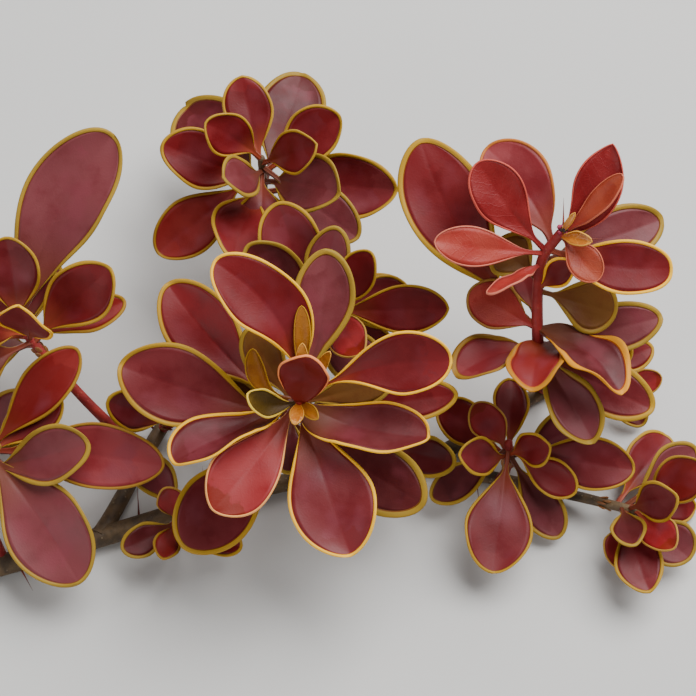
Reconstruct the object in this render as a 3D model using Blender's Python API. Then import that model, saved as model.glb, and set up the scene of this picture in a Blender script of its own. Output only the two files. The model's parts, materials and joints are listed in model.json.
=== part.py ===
"""A cut branch of japanese barberry, lying on the floor with its leaf rosettes turned up.

The branch is grown in millimetres. Its meshes are made in metres, round the middle of its underside.
"""
import math
import random

import bmesh
import bpy
import numpy as np

# Sight and origin

MM = 0.001
SIGHT_TILT = math.radians(62)
RIGHT = np.array([1.0, 0.0, 0.0])
UP = np.array([0.0, math.sin(SIGHT_TILT), math.cos(SIGHT_TILT)])
TOWARD = np.array([0.0, -math.cos(SIGHT_TILT), math.sin(SIGHT_TILT)])
FOCUS = np.array([0.0, 0.0, 38.0])
UNDERSIDE_MIDDLE = np.array([-8.863, 17.012, 0.046])

# Room that is kept free

GAP = 0.35
FLOOR_CLEARANCE = 0.6
CLEAR_OF_OTHERS = 1.9
CLEAR_OF_KIN = 1.3
CLEAR_OF_LIMBS = 1.1
SAMPLES_ALONG = 14
SAMPLES_ACROSS = 7
ROWS_AT_LIMB = 2
ROWS_AT_KIN = 5

# Leaf rule

GOLDEN_TURN = 137.5
CROWN_FOOT = 1.5
TOP_SIZE = 0.62
SIZE_SPREAD = (0.9, 1.08)
TOP_LIFT = 52
LOWEST_LIFT = 2
LIFT_SPREAD = 6
WIDTH_SPREAD = (0.46, 0.56)
SWAY_SPREAD = 0.08
CUP_SPREAD = (10, 32)
GROWN_LEAN = 0.04
ARCH = 0.07
TRIES = ((0, 1), (24, 1), (-24, 1), (48, 1), (-48, 1), (0, 0.72), (30, 0.72), (-30, 0.72))

# Blade

SOFT_NECK = 0.004
STALK_HALF_WIDTH = 0.5
HALF_THICKNESS = 0.27
STALK_EXTRA = 0.22
STATIONS = np.array([0.0, 0.12, 0.25, 0.4, 0.56, 0.72, 0.87, 0.98])
ACROSS = np.array([-1.0, -0.45, 0.45, 1.0])

# Bark

STEM_SIDES = 10
SHOOT_SIDES = 8
CROWN_SIDES = 7
LIMB_SPACING = 3.5
CROWN_SPACING = 2.5


def spot(right, up, toward):
    """Point that far right of, above and in front of the focus point for the viewer."""
    return FOCUS + right * RIGHT + up * UP + toward * TOWARD


def leaf(node, reach, width, rise=1.0, sway=0.0, cup=20, roll=0, stalk=0.14, neck=0.75, peak=0.58,
         lean=0.0, tip_power=0.52, wave=0.0):
    """One leaf: how far under the bud it is rooted, where its tip reaches, and its shape."""
    return {"node": node, "tip": spot(*reach), "width": width, "rise": rise, "sway": sway, "cup": cup,
            "roll": roll, "stalk": stalk, "neck": neck, "peak": peak, "lean": lean, "tip_power": tip_power,
            "wave": wave}


# Each limb: its course, its radius at foot and tip, what it leaves, and how much of it bears leaves
LIMBS = {
    "main_stem": {"course": [(-78, -30, 2.25), (-45, -20, 2.6), (-15, -10, 2.6), (13, -5, 2.2), (30, 6, 1.9),
                             (50, 17, 1.35)],
                  "radii": (2.2, 1.3), "parent": None, "crown": 0},
    "left_bough": {"course": [(-45, -20, 2.6), (-36, 0, 2.0), (-24, 25, 1.4), (-18, 37, 5), (-16, 42, 15),
                              spot(-16, 35.5, -28)],
                   "radii": (1.6, 0.8), "parent": "main_stem", "crown": 14},
    "right_bough": {"course": [(13, -5, 2.2), (36, -10, 1.7), spot(54.5, -30, -20)],
                    "radii": (1.5, 0.9), "parent": "main_stem", "crown": 9},
    "front_shoot": {"course": [(-9, -8, 2.6), (-10, -9, 14), spot(-9.5, -10, -9), spot(-8, -9, 0)],
                    "radii": (1.2, 0.8), "parent": "main_stem", "crown": 17},
    "tall_shoot": {"course": [(37, 10.5, 1.8), (35.5, 8, 14), spot(33.5, 0.5, -12), spot(33, 9.5, -8),
                              spot(33.5, 15.5, -3.5), spot(36.5, 20, 1)],
                   "radii": (1.3, 0.9), "parent": "main_stem", "crown": 31},
    "upper_left_shoot": {"course": [(-37, -4, 2.2), (-47, 2, 12), spot(-61, 6.5, -16)],
                         "radii": (1.1, 0.8), "parent": "left_bough", "crown": 10},
    "far_left_shoot": {"course": [(-62, -25, 2.5), (-65, -17, 9), spot(-64.5, -15.5, -15)],
                       "radii": (1.1, 0.8), "parent": "main_stem", "crown": 9},
    "low_right_shoot": {"course": [(28, -8.5, 1.9), (29, -8, 7), spot(29, -16.5, -20)],
                        "radii": (0.9, 0.8), "parent": "right_bough", "crown": 6},
    "middle_shoot": {"course": [(-28, 17, 1.5), (-17, 18, 11), spot(-3, 7, -18)],
                     "radii": (1.0, 0.8), "parent": "left_bough", "crown": 10},
    "lower_spur": {"course": [(-30, -15.5, 2.6), (-30.5, -18, 6), (-31, -20, 9)],
                   "radii": (0.9, 0.7), "parent": "main_stem", "crown": 9},
    "inner_spur": {"course": [(6, -6.5, 2.4), (7, -4, 6), (8, -1, 10)],
                   "radii": (0.9, 0.7), "parent": "main_stem", "crown": 9},
    "side_spur": {"course": [(-35, 2, 2.0), (-32, 1.5, 6), (-29, 1, 10)],
                  "radii": (0.9, 0.7), "parent": "left_bough", "crown": 9},
    "end_spur": {"course": [(44, 14, 1.6), (47, 10, 5), (50, 7, 8)],
                 "radii": (0.8, 0.6), "parent": "main_stem", "crown": 12},
}

# Leaves placed one by one on the limb's crown that bears them
PLACED = {
    "front_shoot": [
        leaf(3, (-22.5, 14.4, 7), 12.6, rise=3, sway=-8.5, cup=32, roll=14, stalk=0.22, peak=0.54, lean=0.08,
             tip_power=0.46),
        leaf(0.5, (-7, -1.2, 8), 9, rise=-1, stalk=0, neck=0.45, peak=0.6, tip_power=0.56),
        leaf(2.5, (17.5, -2.4, 5), 11.2, rise=3, sway=4.8, cup=26, stalk=0.2, neck=0.9, peak=0.66,
             tip_power=0.46),
        leaf(4, (13.9, -15, 2), 11.8, sway=-3.2, cup=32, roll=-38, stalk=0.05, peak=0.53, lean=0.12,
             tip_power=0.38),
        leaf(4.5, (0.5, -35.3, 2), 15.1, sway=0.1, cup=16, stalk=0.12, peak=0.62, tip_power=0.56),
        leaf(4, (-22.9, -27.3, 4), 12, sway=1.6, cup=25, stalk=0.1, neck=0.65, peak=0.68, tip_power=0.6),
        leaf(5.5, (-29.8, -19.5, 2), 12, sway=-0.4, cup=45, roll=48, stalk=0.12, peak=0.62, lean=-0.08,
             tip_power=0.42),
        leaf(10, (-3.9, 17.3, -7), 11, sway=-3.5, cup=15, stalk=0.25, peak=0.62),
        leaf(12.5, (-32, 11.5, -12), 13, sway=2, cup=24, stalk=0.28),
        leaf(12.5, (-40, -3, -8), 14.5, sway=1, cup=15, stalk=0.22),
        leaf(12, (19.3, -8, -9.5), 8, cup=15, stalk=0.3),
        leaf(14, (13.5, -27.5, -9), 12.5, cup=15, stalk=0.2),
        leaf(14, (-29, -35, -9), 14, cup=15, stalk=0.25),
        leaf(1.5, (-7.8, 7.2, 3.5), 3, sway=-0.5, peak=0.65),
        leaf(1, (-3, -0.5, 4), 2.2, rise=-0.5),
        leaf(6, (-16.3, 0, -3), 3.6, sway=5.5, peak=0.65),
        leaf(2, (-5, -12, 3), 2.4),
        leaf(2, (-9, -13, 3), 2.6),
        leaf(2, (-17, -7.6, 4), 5.4, rise=-1.5, sway=2.8, cup=55, stalk=0.15, peak=0.55, tip_power=0.4),
        leaf(1, (-7.6, 0.9, 5), 2.4),
        leaf(9, (8, -5.5, -5), 7, cup=15, stalk=0.2),
        leaf(9.5, (-17.5, 3.5, -5.5), 7.5, cup=15, stalk=0.2),
        leaf(11, (-10.5, -22, -7), 7, cup=15, stalk=0.2),
        leaf(15, (-24.5, -6.5, -13), 7.5, cup=15, stalk=0.2),
    ],
    "tall_shoot": [
        leaf(5.5, (22, 31.6, 2), 9.5, sway=1.6, stalk=0.16, peak=0.62),
        leaf(6, (14.5, 18, 2), 7, sway=0.5, cup=10, stalk=0.16, peak=0.62),
        leaf(8.5, (23.5, 9, 2), 5.5, cup=10, roll=68, stalk=0.12),
        leaf(2.5, (44.5, 34.4, 4), 8.6, sway=-3.2, peak=0.52, lean=0.06, tip_power=0.72),
        leaf(1, (45.8, 29.1, 6), 4.6, sway=-1.6, cup=30, roll=-30),
        leaf(1, (42, 11.2, 3), 6.1, sway=0.5),
        leaf(5, (55.1, 13.6, 1), 9.7, sway=-2.5, stalk=0.1, peak=0.6, tip_power=0.4),
        leaf(3.5, (23.7, 34.6, -4), 12, sway=-2.5, cup=18, neck=0.55),
        leaf(21, (12.5, 36.5, -8), 15, sway=5.3, cup=15, stalk=0.25),
        leaf(8, (55, 22.5, -8), 10, cup=15),
        leaf(27, (18.8, -5.2, -8), 10.8, sway=-3.4, cup=42, roll=46),
        leaf(24, (31, -7.5, -1), 10.6, rise=2.5, cup=28, roll=20, stalk=0.04, neck=0.62, peak=0.5, lean=-0.05,
             tip_power=0.5, wave=0.08),
        leaf(21, (46.8, -8, -1), 11, sway=4, cup=30, roll=-42, stalk=0.05, peak=0.55, wave=0.3),
        leaf(26, (42.8, -16.5, -6), 10, cup=40),
        leaf(28, (53.8, -11, -11), 10),
        leaf(25, (55.5, 5.5, -12), 9),
        leaf(21, (21, 10, -9), 9),
        leaf(1.5, (41, 17.8, 4.5), 2.8, cup=50),
        leaf(1, (38.2, 22.8, 4), 1.2),
        leaf(12, (25.5, 18.5, -5.5), 9, cup=15, stalk=0.2),
        leaf(14, (47, 6, -9), 10, cup=15, stalk=0.2),
    ],
    "upper_left_shoot": [
        leaf(4, (-41.5, 38, -14), 15.5, sway=5.5, stalk=0.1, peak=0.6, tip_power=0.46),
        leaf(3, (-60, 19.5, -9), 11, sway=-1, cup=25),
        leaf(6, (-40, 8.5, -20), 7, cup=30),
    ],
    "left_bough": [
        leaf(3, (2, 20, -26), 10, stalk=0.2),
        leaf(4, (-16, 17.5, -28), 12, stalk=0.2),
        leaf(4, (-35.5, 17.5, -30), 11, stalk=0.25),
    ],
    "far_left_shoot": [
        leaf(3, (-32.5, -21, -14), 12, sway=2, stalk=0.15),
        leaf(2, (-47, -41.5, -11), 15.5, sway=1.5, stalk=0.15),
        leaf(4, (-48, 0, -15), 9, stalk=0.2),
    ],
    "low_right_shoot": [
        leaf(2, (25.5, -40, -14), 12.5, stalk=0.2),
        leaf(2, (41, -26, -18), 7, stalk=0.2),
        leaf(2, (51.5, -22, -18), 10, stalk=0.2),
        leaf(2, (15, -27.5, -22), 7, stalk=0.2),
        leaf(3, (38.5, -34.5, -22), 8, stalk=0.2),
    ],
    "right_bough": [
        leaf(2, (62.5, -20, -14), 9, stalk=0.2),
        leaf(2, (61.5, -38, -18), 9, stalk=0.2),
        leaf(2, (49, -40, -18), 10, stalk=0.2),
    ],
    "middle_shoot": [
        leaf(2, (18, 7, -14), 9, cup=15, stalk=0.2),
    ],
}

# Leaves grown by rule round each crown: how many, the first one's turn, the length of the longest,
# and how far under the bud they begin
GROWN = {
    "front_shoot": (0, 0, 0, 0),
    "tall_shoot": (3, 230, 18, 14),
    "upper_left_shoot": (9, 20, 25, 5),
    "left_bough": (11, 100, 27, 1),
    "far_left_shoot": (9, 150, 25, 4),
    "low_right_shoot": (6, 80, 20, 3),
    "right_bough": (9, 30, 22, 3),
    "middle_shoot": (9, 10, 24, 1),
    "lower_spur": (6, 200, 17, 1),
    "inner_spur": (6, 40, 17, 1),
    "side_spur": (6, 120, 17, 1),
    "end_spur": (6, 300, 15, 1),
}


def unit(v):
    v = np.asarray(v, float)
    return v / np.linalg.norm(v, axis=-1, keepdims=True)


def smooth_course(points):
    """Points along a rounded curve through the given ones, about a millimetre apart."""
    p = [np.asarray(x, float) for x in points]
    p = [2 * p[0] - p[1]] + p + [2 * p[-1] - p[-2]]
    dense = []
    for a, b, c, d in zip(p, p[1:], p[2:], p[3:]):
        for t in np.linspace(0, 1, 24, endpoint=False):
            dense.append(0.5 * (2 * b + (c - a) * t + (2 * a - 5 * b + 4 * c - d) * t ** 2
                                + (3 * b - a - 3 * c + d) * t ** 3))
    dense.append(p[-2])
    dense = np.array(dense)
    run = np.concatenate([[0], np.cumsum(np.linalg.norm(np.diff(dense, axis=0), axis=1))])
    want = np.linspace(0, run[-1], max(2, round(run[-1])) + 1)
    return np.stack([np.interp(want, run, dense[:, k]) for k in range(3)], -1), want


def along_limb(limb, distance):
    """Place and direction on a limb at a distance from its foot."""
    line, run = limb["line"], limb["run"]
    place, low, high = (np.array([np.interp(where, run, line[:, k]) for k in range(3)])
                        for where in (distance, max(distance - 1.5, 0), min(distance + 1.5, run[-1])))
    return place, unit(high - low)


def bark_radius(limb, distance):
    foot, tip = limb["radii"]
    return foot + (tip - foot) * distance / limb["run"][-1]


def square_to(direction):
    """Two directions square to this one and to each other."""
    helper = RIGHT if abs(direction[0]) < 0.8 else UP
    first = unit(np.cross(direction, helper))
    return first, np.cross(direction, first)


def clear_foot(limb, parent):
    """Distance along a limb at which its end ring first stands clear of its parent."""
    turns = np.linspace(0, 2 * math.pi, 16, endpoint=False)
    bark = bark_radius(parent, parent["run"])
    distance = 0.0
    while True:
        place, direction = along_limb(limb, distance)
        e1, e2 = square_to(direction)
        circle = np.outer(np.cos(turns), e1) + np.outer(np.sin(turns), e2)
        ring = place + bark_radius(limb, distance) * circle
        apart = np.linalg.norm(ring[:, None] - parent["line"][None], axis=2)
        if (apart - bark).min() > GAP:
            return distance
        distance += 0.1


def lay_limbs():
    """Every limb with its line, and where its bark begins and its crown takes over."""
    limbs = {}
    for name, plan in LIMBS.items():
        line, run = smooth_course(plan["course"])
        limb = dict(plan, line=line, run=run)
        limb["start"] = clear_foot(limb, limbs[plan["parent"]]) if plan["parent"] else 0.0
        limb["end"] = max(limb["start"], run[-1] - plan["crown"])
        limbs[name] = limb
    return limbs


def half_width(u, shape, side):
    """The blade's width at u to one side of its midrib: narrow stalk, widest past the middle, round tip."""
    peak = shape["peak"] + shape["lean"] * np.sign(side)
    ramp = (u - shape["stalk"]) / (1 - shape["stalk"])
    x = np.clip((ramp + np.sqrt(ramp * ramp + SOFT_NECK)) / 2, 0, 1)
    swell = np.sin(math.pi * x ** (math.log(0.5) / np.log(peak)))
    power = np.where(x < peak, shape["neck"], shape["tip_power"])
    blade = shape["width"] / 2 * np.maximum(swell, 1e-9) ** power
    return np.hypot(blade, STALK_HALF_WIDTH * np.clip(1 - 1.6 * u, 0, 1))


def leaf_frame(shape, u):
    """Midrib points, sideways directions and upward directions at u along a leaf."""
    root, tip = shape["root"], shape["tip"]
    chord = tip - root
    side = unit(np.cross(TOWARD, chord))
    over = unit(np.cross(chord, side))
    elbow = (root + tip) / 2 + shape["rise"] * over + shape["sway"] * side
    k = u[..., None]
    middle = (1 - k) ** 2 * root + 2 * k * (1 - k) * elbow + k ** 2 * tip
    along = unit((1 - k) * (elbow - root) + k * (tip - elbow))
    sideways = unit(side - (along @ side)[..., None] * along)
    upward = np.cross(along, sideways)
    roll = np.radians(shape["roll"] * np.minimum(1, 2.5 * u))[..., None]
    return (middle, np.cos(roll) * sideways + np.sin(roll) * upward,
            np.cos(roll) * upward - np.sin(roll) * sideways)


def leaf_surface(shape, u, v):
    """Points of the blade's middle layer, u from root to tip and v from edge to edge."""
    middle, sideways, upward = leaf_frame(shape, u)
    w = half_width(u, shape, v)
    bend = math.radians(shape["cup"])
    x = w * np.sin(bend * v) / bend
    z = w * (1 - np.cos(bend * v)) / bend
    ripple = shape["wave"] * shape["width"] / 2 * np.abs(v) ** 3 * np.sin(math.pi * u)
    z = z + ripple * np.sin(3 * math.pi * u + 1.5 * (v > 0))
    return middle + x[..., None] * sideways + z[..., None] * upward, upward


def leaf_samples(shape):
    """Rows of points over a leaf, from its root to its tip, to test its room with."""
    u, v = np.meshgrid(np.linspace(0.12, 1, SAMPLES_ALONG), np.linspace(-1, 1, SAMPLES_ACROSS), indexing="ij")
    return leaf_surface(shape, u, v)[0].reshape(-1, 3)


def apart(points, others):
    return np.sqrt(((points[:, None] - others[None]) ** 2).sum(2))


def limb_points(limbs):
    """Points on every limb's line with their radii."""
    places = []
    radii = []
    for limb in limbs.values():
        keep = limb["run"] <= limb["end"]
        places.append(limb["line"][keep])
        radii.append(bark_radius(limb, limb["run"])[keep])
    return np.concatenate(places), np.concatenate(radii)


def fits(shape, crown, kept, wood, clear_of_kin):
    """Whether a leaf clears the floor, the limbs and other crowns, and its own kin if asked."""
    points = leaf_samples(shape)
    if points[:, 2].min() < FLOOR_CLEARANCE:
        return False
    places, radii = wood
    if (apart(points[ROWS_AT_LIMB * SAMPLES_ACROSS:], places) - radii).min() < CLEAR_OF_LIMBS:
        return False
    outer = ROWS_AT_KIN * SAMPLES_ACROSS
    for other, leaves in kept.items():
        for mate in leaves:
            if other != crown and apart(points, mate["samples"]).min() < CLEAR_OF_OTHERS:
                return False
            if other == crown and clear_of_kin:
                if apart(points[outer:], mate["samples"][outer:]).min() < CLEAR_OF_KIN:
                    return False
    shape["samples"] = points
    return True


def grow_leaves(limbs):
    """Placed leaves first, then leaves round each crown by rule wherever they have room."""
    wood = limb_points(limbs)
    kept = {name: [] for name in GROWN}
    for name, shapes in PLACED.items():
        limb = limbs[name]
        for shape in shapes:
            shape = dict(shape, root=along_limb(limb, limb["run"][-1] - shape["node"])[0])
            if fits(shape, name, kept, wood, False):
                kept[name].append(shape)
    for name, (count, first_turn, longest, top) in GROWN.items():
        chance = random.Random(name)
        limb = limbs[name]
        for k in range(count):
            age = k / count
            node = top + (limb["crown"] - CROWN_FOOT - top) * age
            place, axis = along_limb(limb, limb["run"][-1] - node)
            e1, e2 = square_to(axis)
            size = longest * (TOP_SIZE + (1 - TOP_SIZE) * age) * chance.uniform(*SIZE_SPREAD)
            spread = chance.uniform(-LIFT_SPREAD, LIFT_SPREAD)
            lift = math.radians(TOP_LIFT - (TOP_LIFT - LOWEST_LIFT) * age + spread)
            ratio = chance.uniform(*WIDTH_SPREAD)
            sway = chance.uniform(-SWAY_SPREAD, SWAY_SPREAD)
            cup = chance.uniform(*CUP_SPREAD)
            for shift, shrink in TRIES:
                turn = math.radians(first_turn + GOLDEN_TURN * k + shift)
                out = math.cos(turn) * e1 + math.sin(turn) * e2
                reach = size * shrink * (math.cos(lift) * out + math.sin(lift) * axis)
                shape = leaf(node, (0, 0, 0), size * shrink * ratio, rise=ARCH * size, sway=sway * size,
                             cup=cup, stalk=0.2, peak=0.56, lean=GROWN_LEAN * (-1) ** k)
                shape.update(root=place, tip=place + reach)
                if fits(shape, name, kept, wood, True):
                    kept[name].append(shape)
                    break
    return kept


def solid(name, points, faces):
    """Mesh object from points in millimetres, set on the part's own origin."""
    mesh = bpy.data.meshes.new(name)
    shifted = (np.asarray(points) - UNDERSIDE_MIDDLE) * MM
    mesh.from_pydata(shifted.tolist(), [], faces)
    bm = bmesh.new()
    bm.from_mesh(mesh)
    bmesh.ops.recalc_face_normals(bm, faces=bm.faces)
    bm.to_mesh(mesh)
    bm.free()
    thing = bpy.data.objects.new(name, mesh)
    bpy.context.collection.objects.link(thing)
    return thing


def tube(name, limb, start, end, sides, spacing):
    """Closed tapering tube along a limb between two distances from its foot."""
    count = max(2, round((end - start) / spacing)) + 1
    points = []
    e1 = square_to(along_limb(limb, start)[1])[0]
    for distance in np.linspace(start, end, count):
        place, direction = along_limb(limb, distance)
        e1 = unit(e1 - (e1 @ direction) * direction)
        e2 = np.cross(direction, e1)
        for turn in np.linspace(0, 2 * math.pi, sides, endpoint=False):
            points.append(place + bark_radius(limb, distance) * (math.cos(turn) * e1 + math.sin(turn) * e2))
    faces = [tuple(reversed(range(sides))), tuple(range((count - 1) * sides, count * sides))]
    for ring in range(count - 1):
        for k in range(sides):
            a, b = ring * sides + k, ring * sides + (k + 1) % sides
            faces.append((a, b, b + sides, a + sides))
    return solid(name, points, faces)


def leaf_solid(name, shape):
    """Closed thin leaf: a lens across, thicker towards its stalk."""
    u, v = np.meshgrid(STATIONS, ACROSS, indexing="ij")
    middle, upward = leaf_surface(shape, u, v)
    half = (HALF_THICKNESS + STALK_EXTRA * np.clip(1 - 3 * u, 0, 1))[..., None] * upward
    points = []
    for k in range(len(STATIONS)):
        points += [middle[k, 0], middle[k, 1] + half[k, 1], middle[k, 2] + half[k, 2], middle[k, 3],
                   middle[k, 2] - half[k, 2], middle[k, 1] - half[k, 1]]
    corners = 2 * len(ACROSS) - 2
    last = (len(STATIONS) - 1) * corners
    faces = [tuple(range(corners)), tuple(reversed(range(last, last + corners)))]
    for ring in range(0, last, corners):
        for k in range(corners):
            a, b = ring + k, ring + (k + 1) % corners
            faces.append((a, a + corners, b + corners, b))
    return solid(name, points, faces)


def keep_largest_shell(thing):
    """Drop loose scraps and sealed hollows, and leave the outer skin as triangles."""
    bm = bmesh.new()
    bm.from_mesh(thing.data)
    bmesh.ops.triangulate(bm, faces=bm.faces)
    seen = set()
    shells = []
    for vertex in bm.verts:
        if vertex.index in seen:
            continue
        stack = [vertex]
        shell = []
        seen.add(vertex.index)
        while stack:
            here = stack.pop()
            shell.append(here)
            for edge in here.link_edges:
                other = edge.other_vert(here)
                if other.index not in seen:
                    seen.add(other.index)
                    stack.append(other)
        shells.append(shell)
    shells.sort(key=len)
    for shell in shells[:-1]:
        bmesh.ops.delete(bm, geom=shell, context="VERTS")
    bm.to_mesh(thing.data)
    bm.free()


def fuse(name, pieces):
    """Join closed pieces into the first one with one union, and drop the others."""
    body = pieces[0]
    others = bpy.data.collections.new(name + "_pieces")
    bpy.context.scene.collection.children.link(others)
    for piece in pieces[1:]:
        bpy.context.collection.objects.unlink(piece)
        others.objects.link(piece)
    union = body.modifiers.new("union", "BOOLEAN")
    union.operation = "UNION"
    union.operand_type = "COLLECTION"
    union.collection = others
    union.solver = "EXACT"
    view = bpy.context.evaluated_depsgraph_get()
    joined = bpy.data.meshes.new_from_object(body.evaluated_get(view))
    body.modifiers.remove(union)
    old = body.data
    body.data = joined
    bpy.data.meshes.remove(old)
    for piece in pieces[1:]:
        bpy.data.objects.remove(piece)
    bpy.data.collections.remove(others)
    body.name = name
    keep_largest_shell(body)
    return body


def material(name, colour, roughness):
    made = bpy.data.materials.new(name)
    made.use_nodes = True
    shader = made.node_tree.nodes["Principled BSDF"]
    shader.inputs["Base Color"].default_value = colour
    shader.inputs["Roughness"].default_value = roughness
    return made


def finish(thing, coat, smooth):
    thing.data.materials.clear()
    thing.data.materials.append(coat)
    for face in thing.data.polygons:
        face.use_smooth = smooth


def main():
    for old in list(bpy.data.objects):
        bpy.data.objects.remove(old)
    limbs = lay_limbs()
    kept = grow_leaves(limbs)
    bark = material("bark", (0.16, 0.07, 0.035, 1), 0.7)
    crimson = material("crimson_leaf", (0.16, 0.012, 0.016, 1), 0.45)
    for name, limb in limbs.items():
        if limb["end"] > limb["start"]:
            sides = STEM_SIDES if name == "main_stem" else SHOOT_SIDES
            finish(tube(name, limb, limb["start"], limb["end"], sides, LIMB_SPACING), bark, True)
    for name, shapes in kept.items():
        limb = limbs[name]
        foot = limb["end"] + (GAP if limb["end"] > limb["start"] else 0)
        pieces = [tube(name + "_crown", limb, foot, limb["run"][-1], CROWN_SIDES, CROWN_SPACING)]
        for number, shape in enumerate(shapes):
            pieces.append(leaf_solid(f"{name}_leaf_{number}", shape))
        finish(fuse(name.rsplit("_", 1)[0] + "_leaves", pieces), crimson, False)


main()
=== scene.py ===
"""A cut branch of japanese barberry on a pale floor: satin crimson leaves with yellow rims.

The growth rule is the one the part was made by, carried to fine blades, rims, bark, spines and buds.
The branch is grown in millimetres. Its meshes are made in metres, round the middle of its underside.
"""
import json
import math
import random

import bpy
import numpy as np
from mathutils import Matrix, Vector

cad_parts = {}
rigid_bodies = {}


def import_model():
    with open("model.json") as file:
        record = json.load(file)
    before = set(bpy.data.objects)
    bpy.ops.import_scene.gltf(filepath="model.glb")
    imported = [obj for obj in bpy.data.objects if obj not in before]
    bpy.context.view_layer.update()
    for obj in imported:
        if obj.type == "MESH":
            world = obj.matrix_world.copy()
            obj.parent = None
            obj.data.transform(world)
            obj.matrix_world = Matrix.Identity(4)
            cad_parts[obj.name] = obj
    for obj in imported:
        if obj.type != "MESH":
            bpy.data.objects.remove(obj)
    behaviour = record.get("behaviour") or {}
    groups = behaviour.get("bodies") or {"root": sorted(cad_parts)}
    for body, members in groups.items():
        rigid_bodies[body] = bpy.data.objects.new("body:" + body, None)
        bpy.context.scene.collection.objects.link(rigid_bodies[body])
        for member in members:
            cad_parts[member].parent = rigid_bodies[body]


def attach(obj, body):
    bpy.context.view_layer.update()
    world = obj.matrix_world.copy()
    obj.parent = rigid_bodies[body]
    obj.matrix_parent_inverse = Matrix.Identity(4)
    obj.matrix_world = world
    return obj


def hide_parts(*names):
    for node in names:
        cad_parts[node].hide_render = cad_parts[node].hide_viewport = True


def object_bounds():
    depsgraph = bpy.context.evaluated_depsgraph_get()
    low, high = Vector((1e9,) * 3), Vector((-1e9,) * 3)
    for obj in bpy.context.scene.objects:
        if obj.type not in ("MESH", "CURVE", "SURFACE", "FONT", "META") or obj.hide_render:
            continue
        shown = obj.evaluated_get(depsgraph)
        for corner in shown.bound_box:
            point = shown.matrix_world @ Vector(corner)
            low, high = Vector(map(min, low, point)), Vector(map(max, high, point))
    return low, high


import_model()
cad_lowest, cad_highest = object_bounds()

# Sight and origin

MM = 0.001
SIGHT_TILT = math.radians(62)
SIGHT_DISTANCE = 328.7
LENS = 100
NEAR_CLIP = 0.01
RIGHT = np.array([1.0, 0.0, 0.0])
UP = np.array([0.0, math.sin(SIGHT_TILT), math.cos(SIGHT_TILT)])
TOWARD = np.array([0.0, -math.cos(SIGHT_TILT), math.sin(SIGHT_TILT)])
FOCUS = np.array([0.0, 0.0, 38.0])
UNDERSIDE_MIDDLE = np.array([-8.863, 17.012, 0.046])

# Room that is kept free

GAP = 0.35
FLOOR_CLEARANCE = 0.6
CLEAR_OF_OTHERS = 1.9
CLEAR_OF_KIN = 1.3
CLEAR_OF_LIMBS = 1.1
SAMPLES_ALONG = 14
SAMPLES_ACROSS = 7
FIRST_SAMPLE = 0.12
ROWS_AT_LIMB = 2
ROWS_AT_KIN = 5
RING_POINTS = 16
FOOT_STEP = 0.1

# Limb rule

COURSE_STEPS = 24
DIRECTION_REACH = 1.5
NEAR_RIGHT = 0.8

# Leaf rule

GOLDEN_TURN = 137.5
CROWN_FOOT = 1.5
TOP_SIZE = 0.62
SIZE_SPREAD = (0.9, 1.08)
TOP_LIFT = 52
LOWEST_LIFT = 2
LIFT_SPREAD = 6
WIDTH_SPREAD = (0.46, 0.56)
SWAY_SPREAD = 0.08
CUP_SPREAD = (10, 32)
GROWN_LEAN = 0.04
GROWN_STALK = 0.2
GROWN_PEAK = 0.56
TOP_LEAVES = 2
ARCH = 0.07
TRIES = ((0, 1), (24, 1), (-24, 1), (48, 1), (-48, 1), (0, 0.72), (30, 0.72), (-30, 0.72))

# Blade

SOFT_NECK = 0.004
STALK_HALF_WIDTH = 0.5
STALK_FADES = 1.6
ROLL_COMES = 2.5
WAVE_BENDS = 3
WAVE_SHIFT = 1.5
HALF_BLADE = 0.14
THINNEST_LEAF = 0.45
THICKER_BY_WIDTH = 0.06
STALK_EXTRA = 0.3
STALK_THINS = 3.5
MIDRIB_GROOVE = 0.1
GROOVE_BEGINS = (0.1, 0.3)
MIDRIB_RIDGE = 0.22
RIDGE_BEGINS = (0.05, 0.3)
MIDRIB_WIDTH = 0.38
MIDRIB_END = 1.02
PUCKER = 0.012
PUCKER_WAVES = ((7, 2.2), (11, -3.1))
EDGE_RIPPLE = 0.018
RIPPLE_WAVES = 17
RIPPLE_SHIFT = 2
RELIEF_BEGINS = (0.12, 0.45)
FOLD_CLEARANCE = 1.4
BLUNT_END = 0.02
LEAST_WIDTH = 1e-3
LEAST_SWELL = 1e-9

# Points on the fine meshes, crowded towards tips and edges

OUTLINE_POINTS = 400
OUTLINE_CROWDING = 1.8
EDGE_CROWDING = 1.25
MIDRIB_POINTS = 40
ROWS_PER_MM = 1.9
ROW_LIMITS = (14, 60)
COLUMNS_PER_MM = 1.5
HALF_COLUMN_LIMITS = (3, 12)

# Rim bead: share of the way from the blade's edge outwards, and height over the middle layer
RIM_SECTION = ((-0.12, 0.0), (-0.06, 0.15), (0.14, 0.2), (0.34, 0.26), (0.6, 0.26), (0.86, 0.17), (1.0, 0.0),
               (0.86, -0.17), (0.5, -0.22), (0.14, -0.19), (-0.06, -0.14))
LINE_SHARE = 0.1
LOWEST_BEAD = 0.3
THINNEST_RIM = 0.03
RIM_WIDENS = (0.15, 0.42)
NECK_ENDS = 0.7
RIM_SHARE_OF_NECK = 0.45
RIM_SHOWS = 0.25

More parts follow.
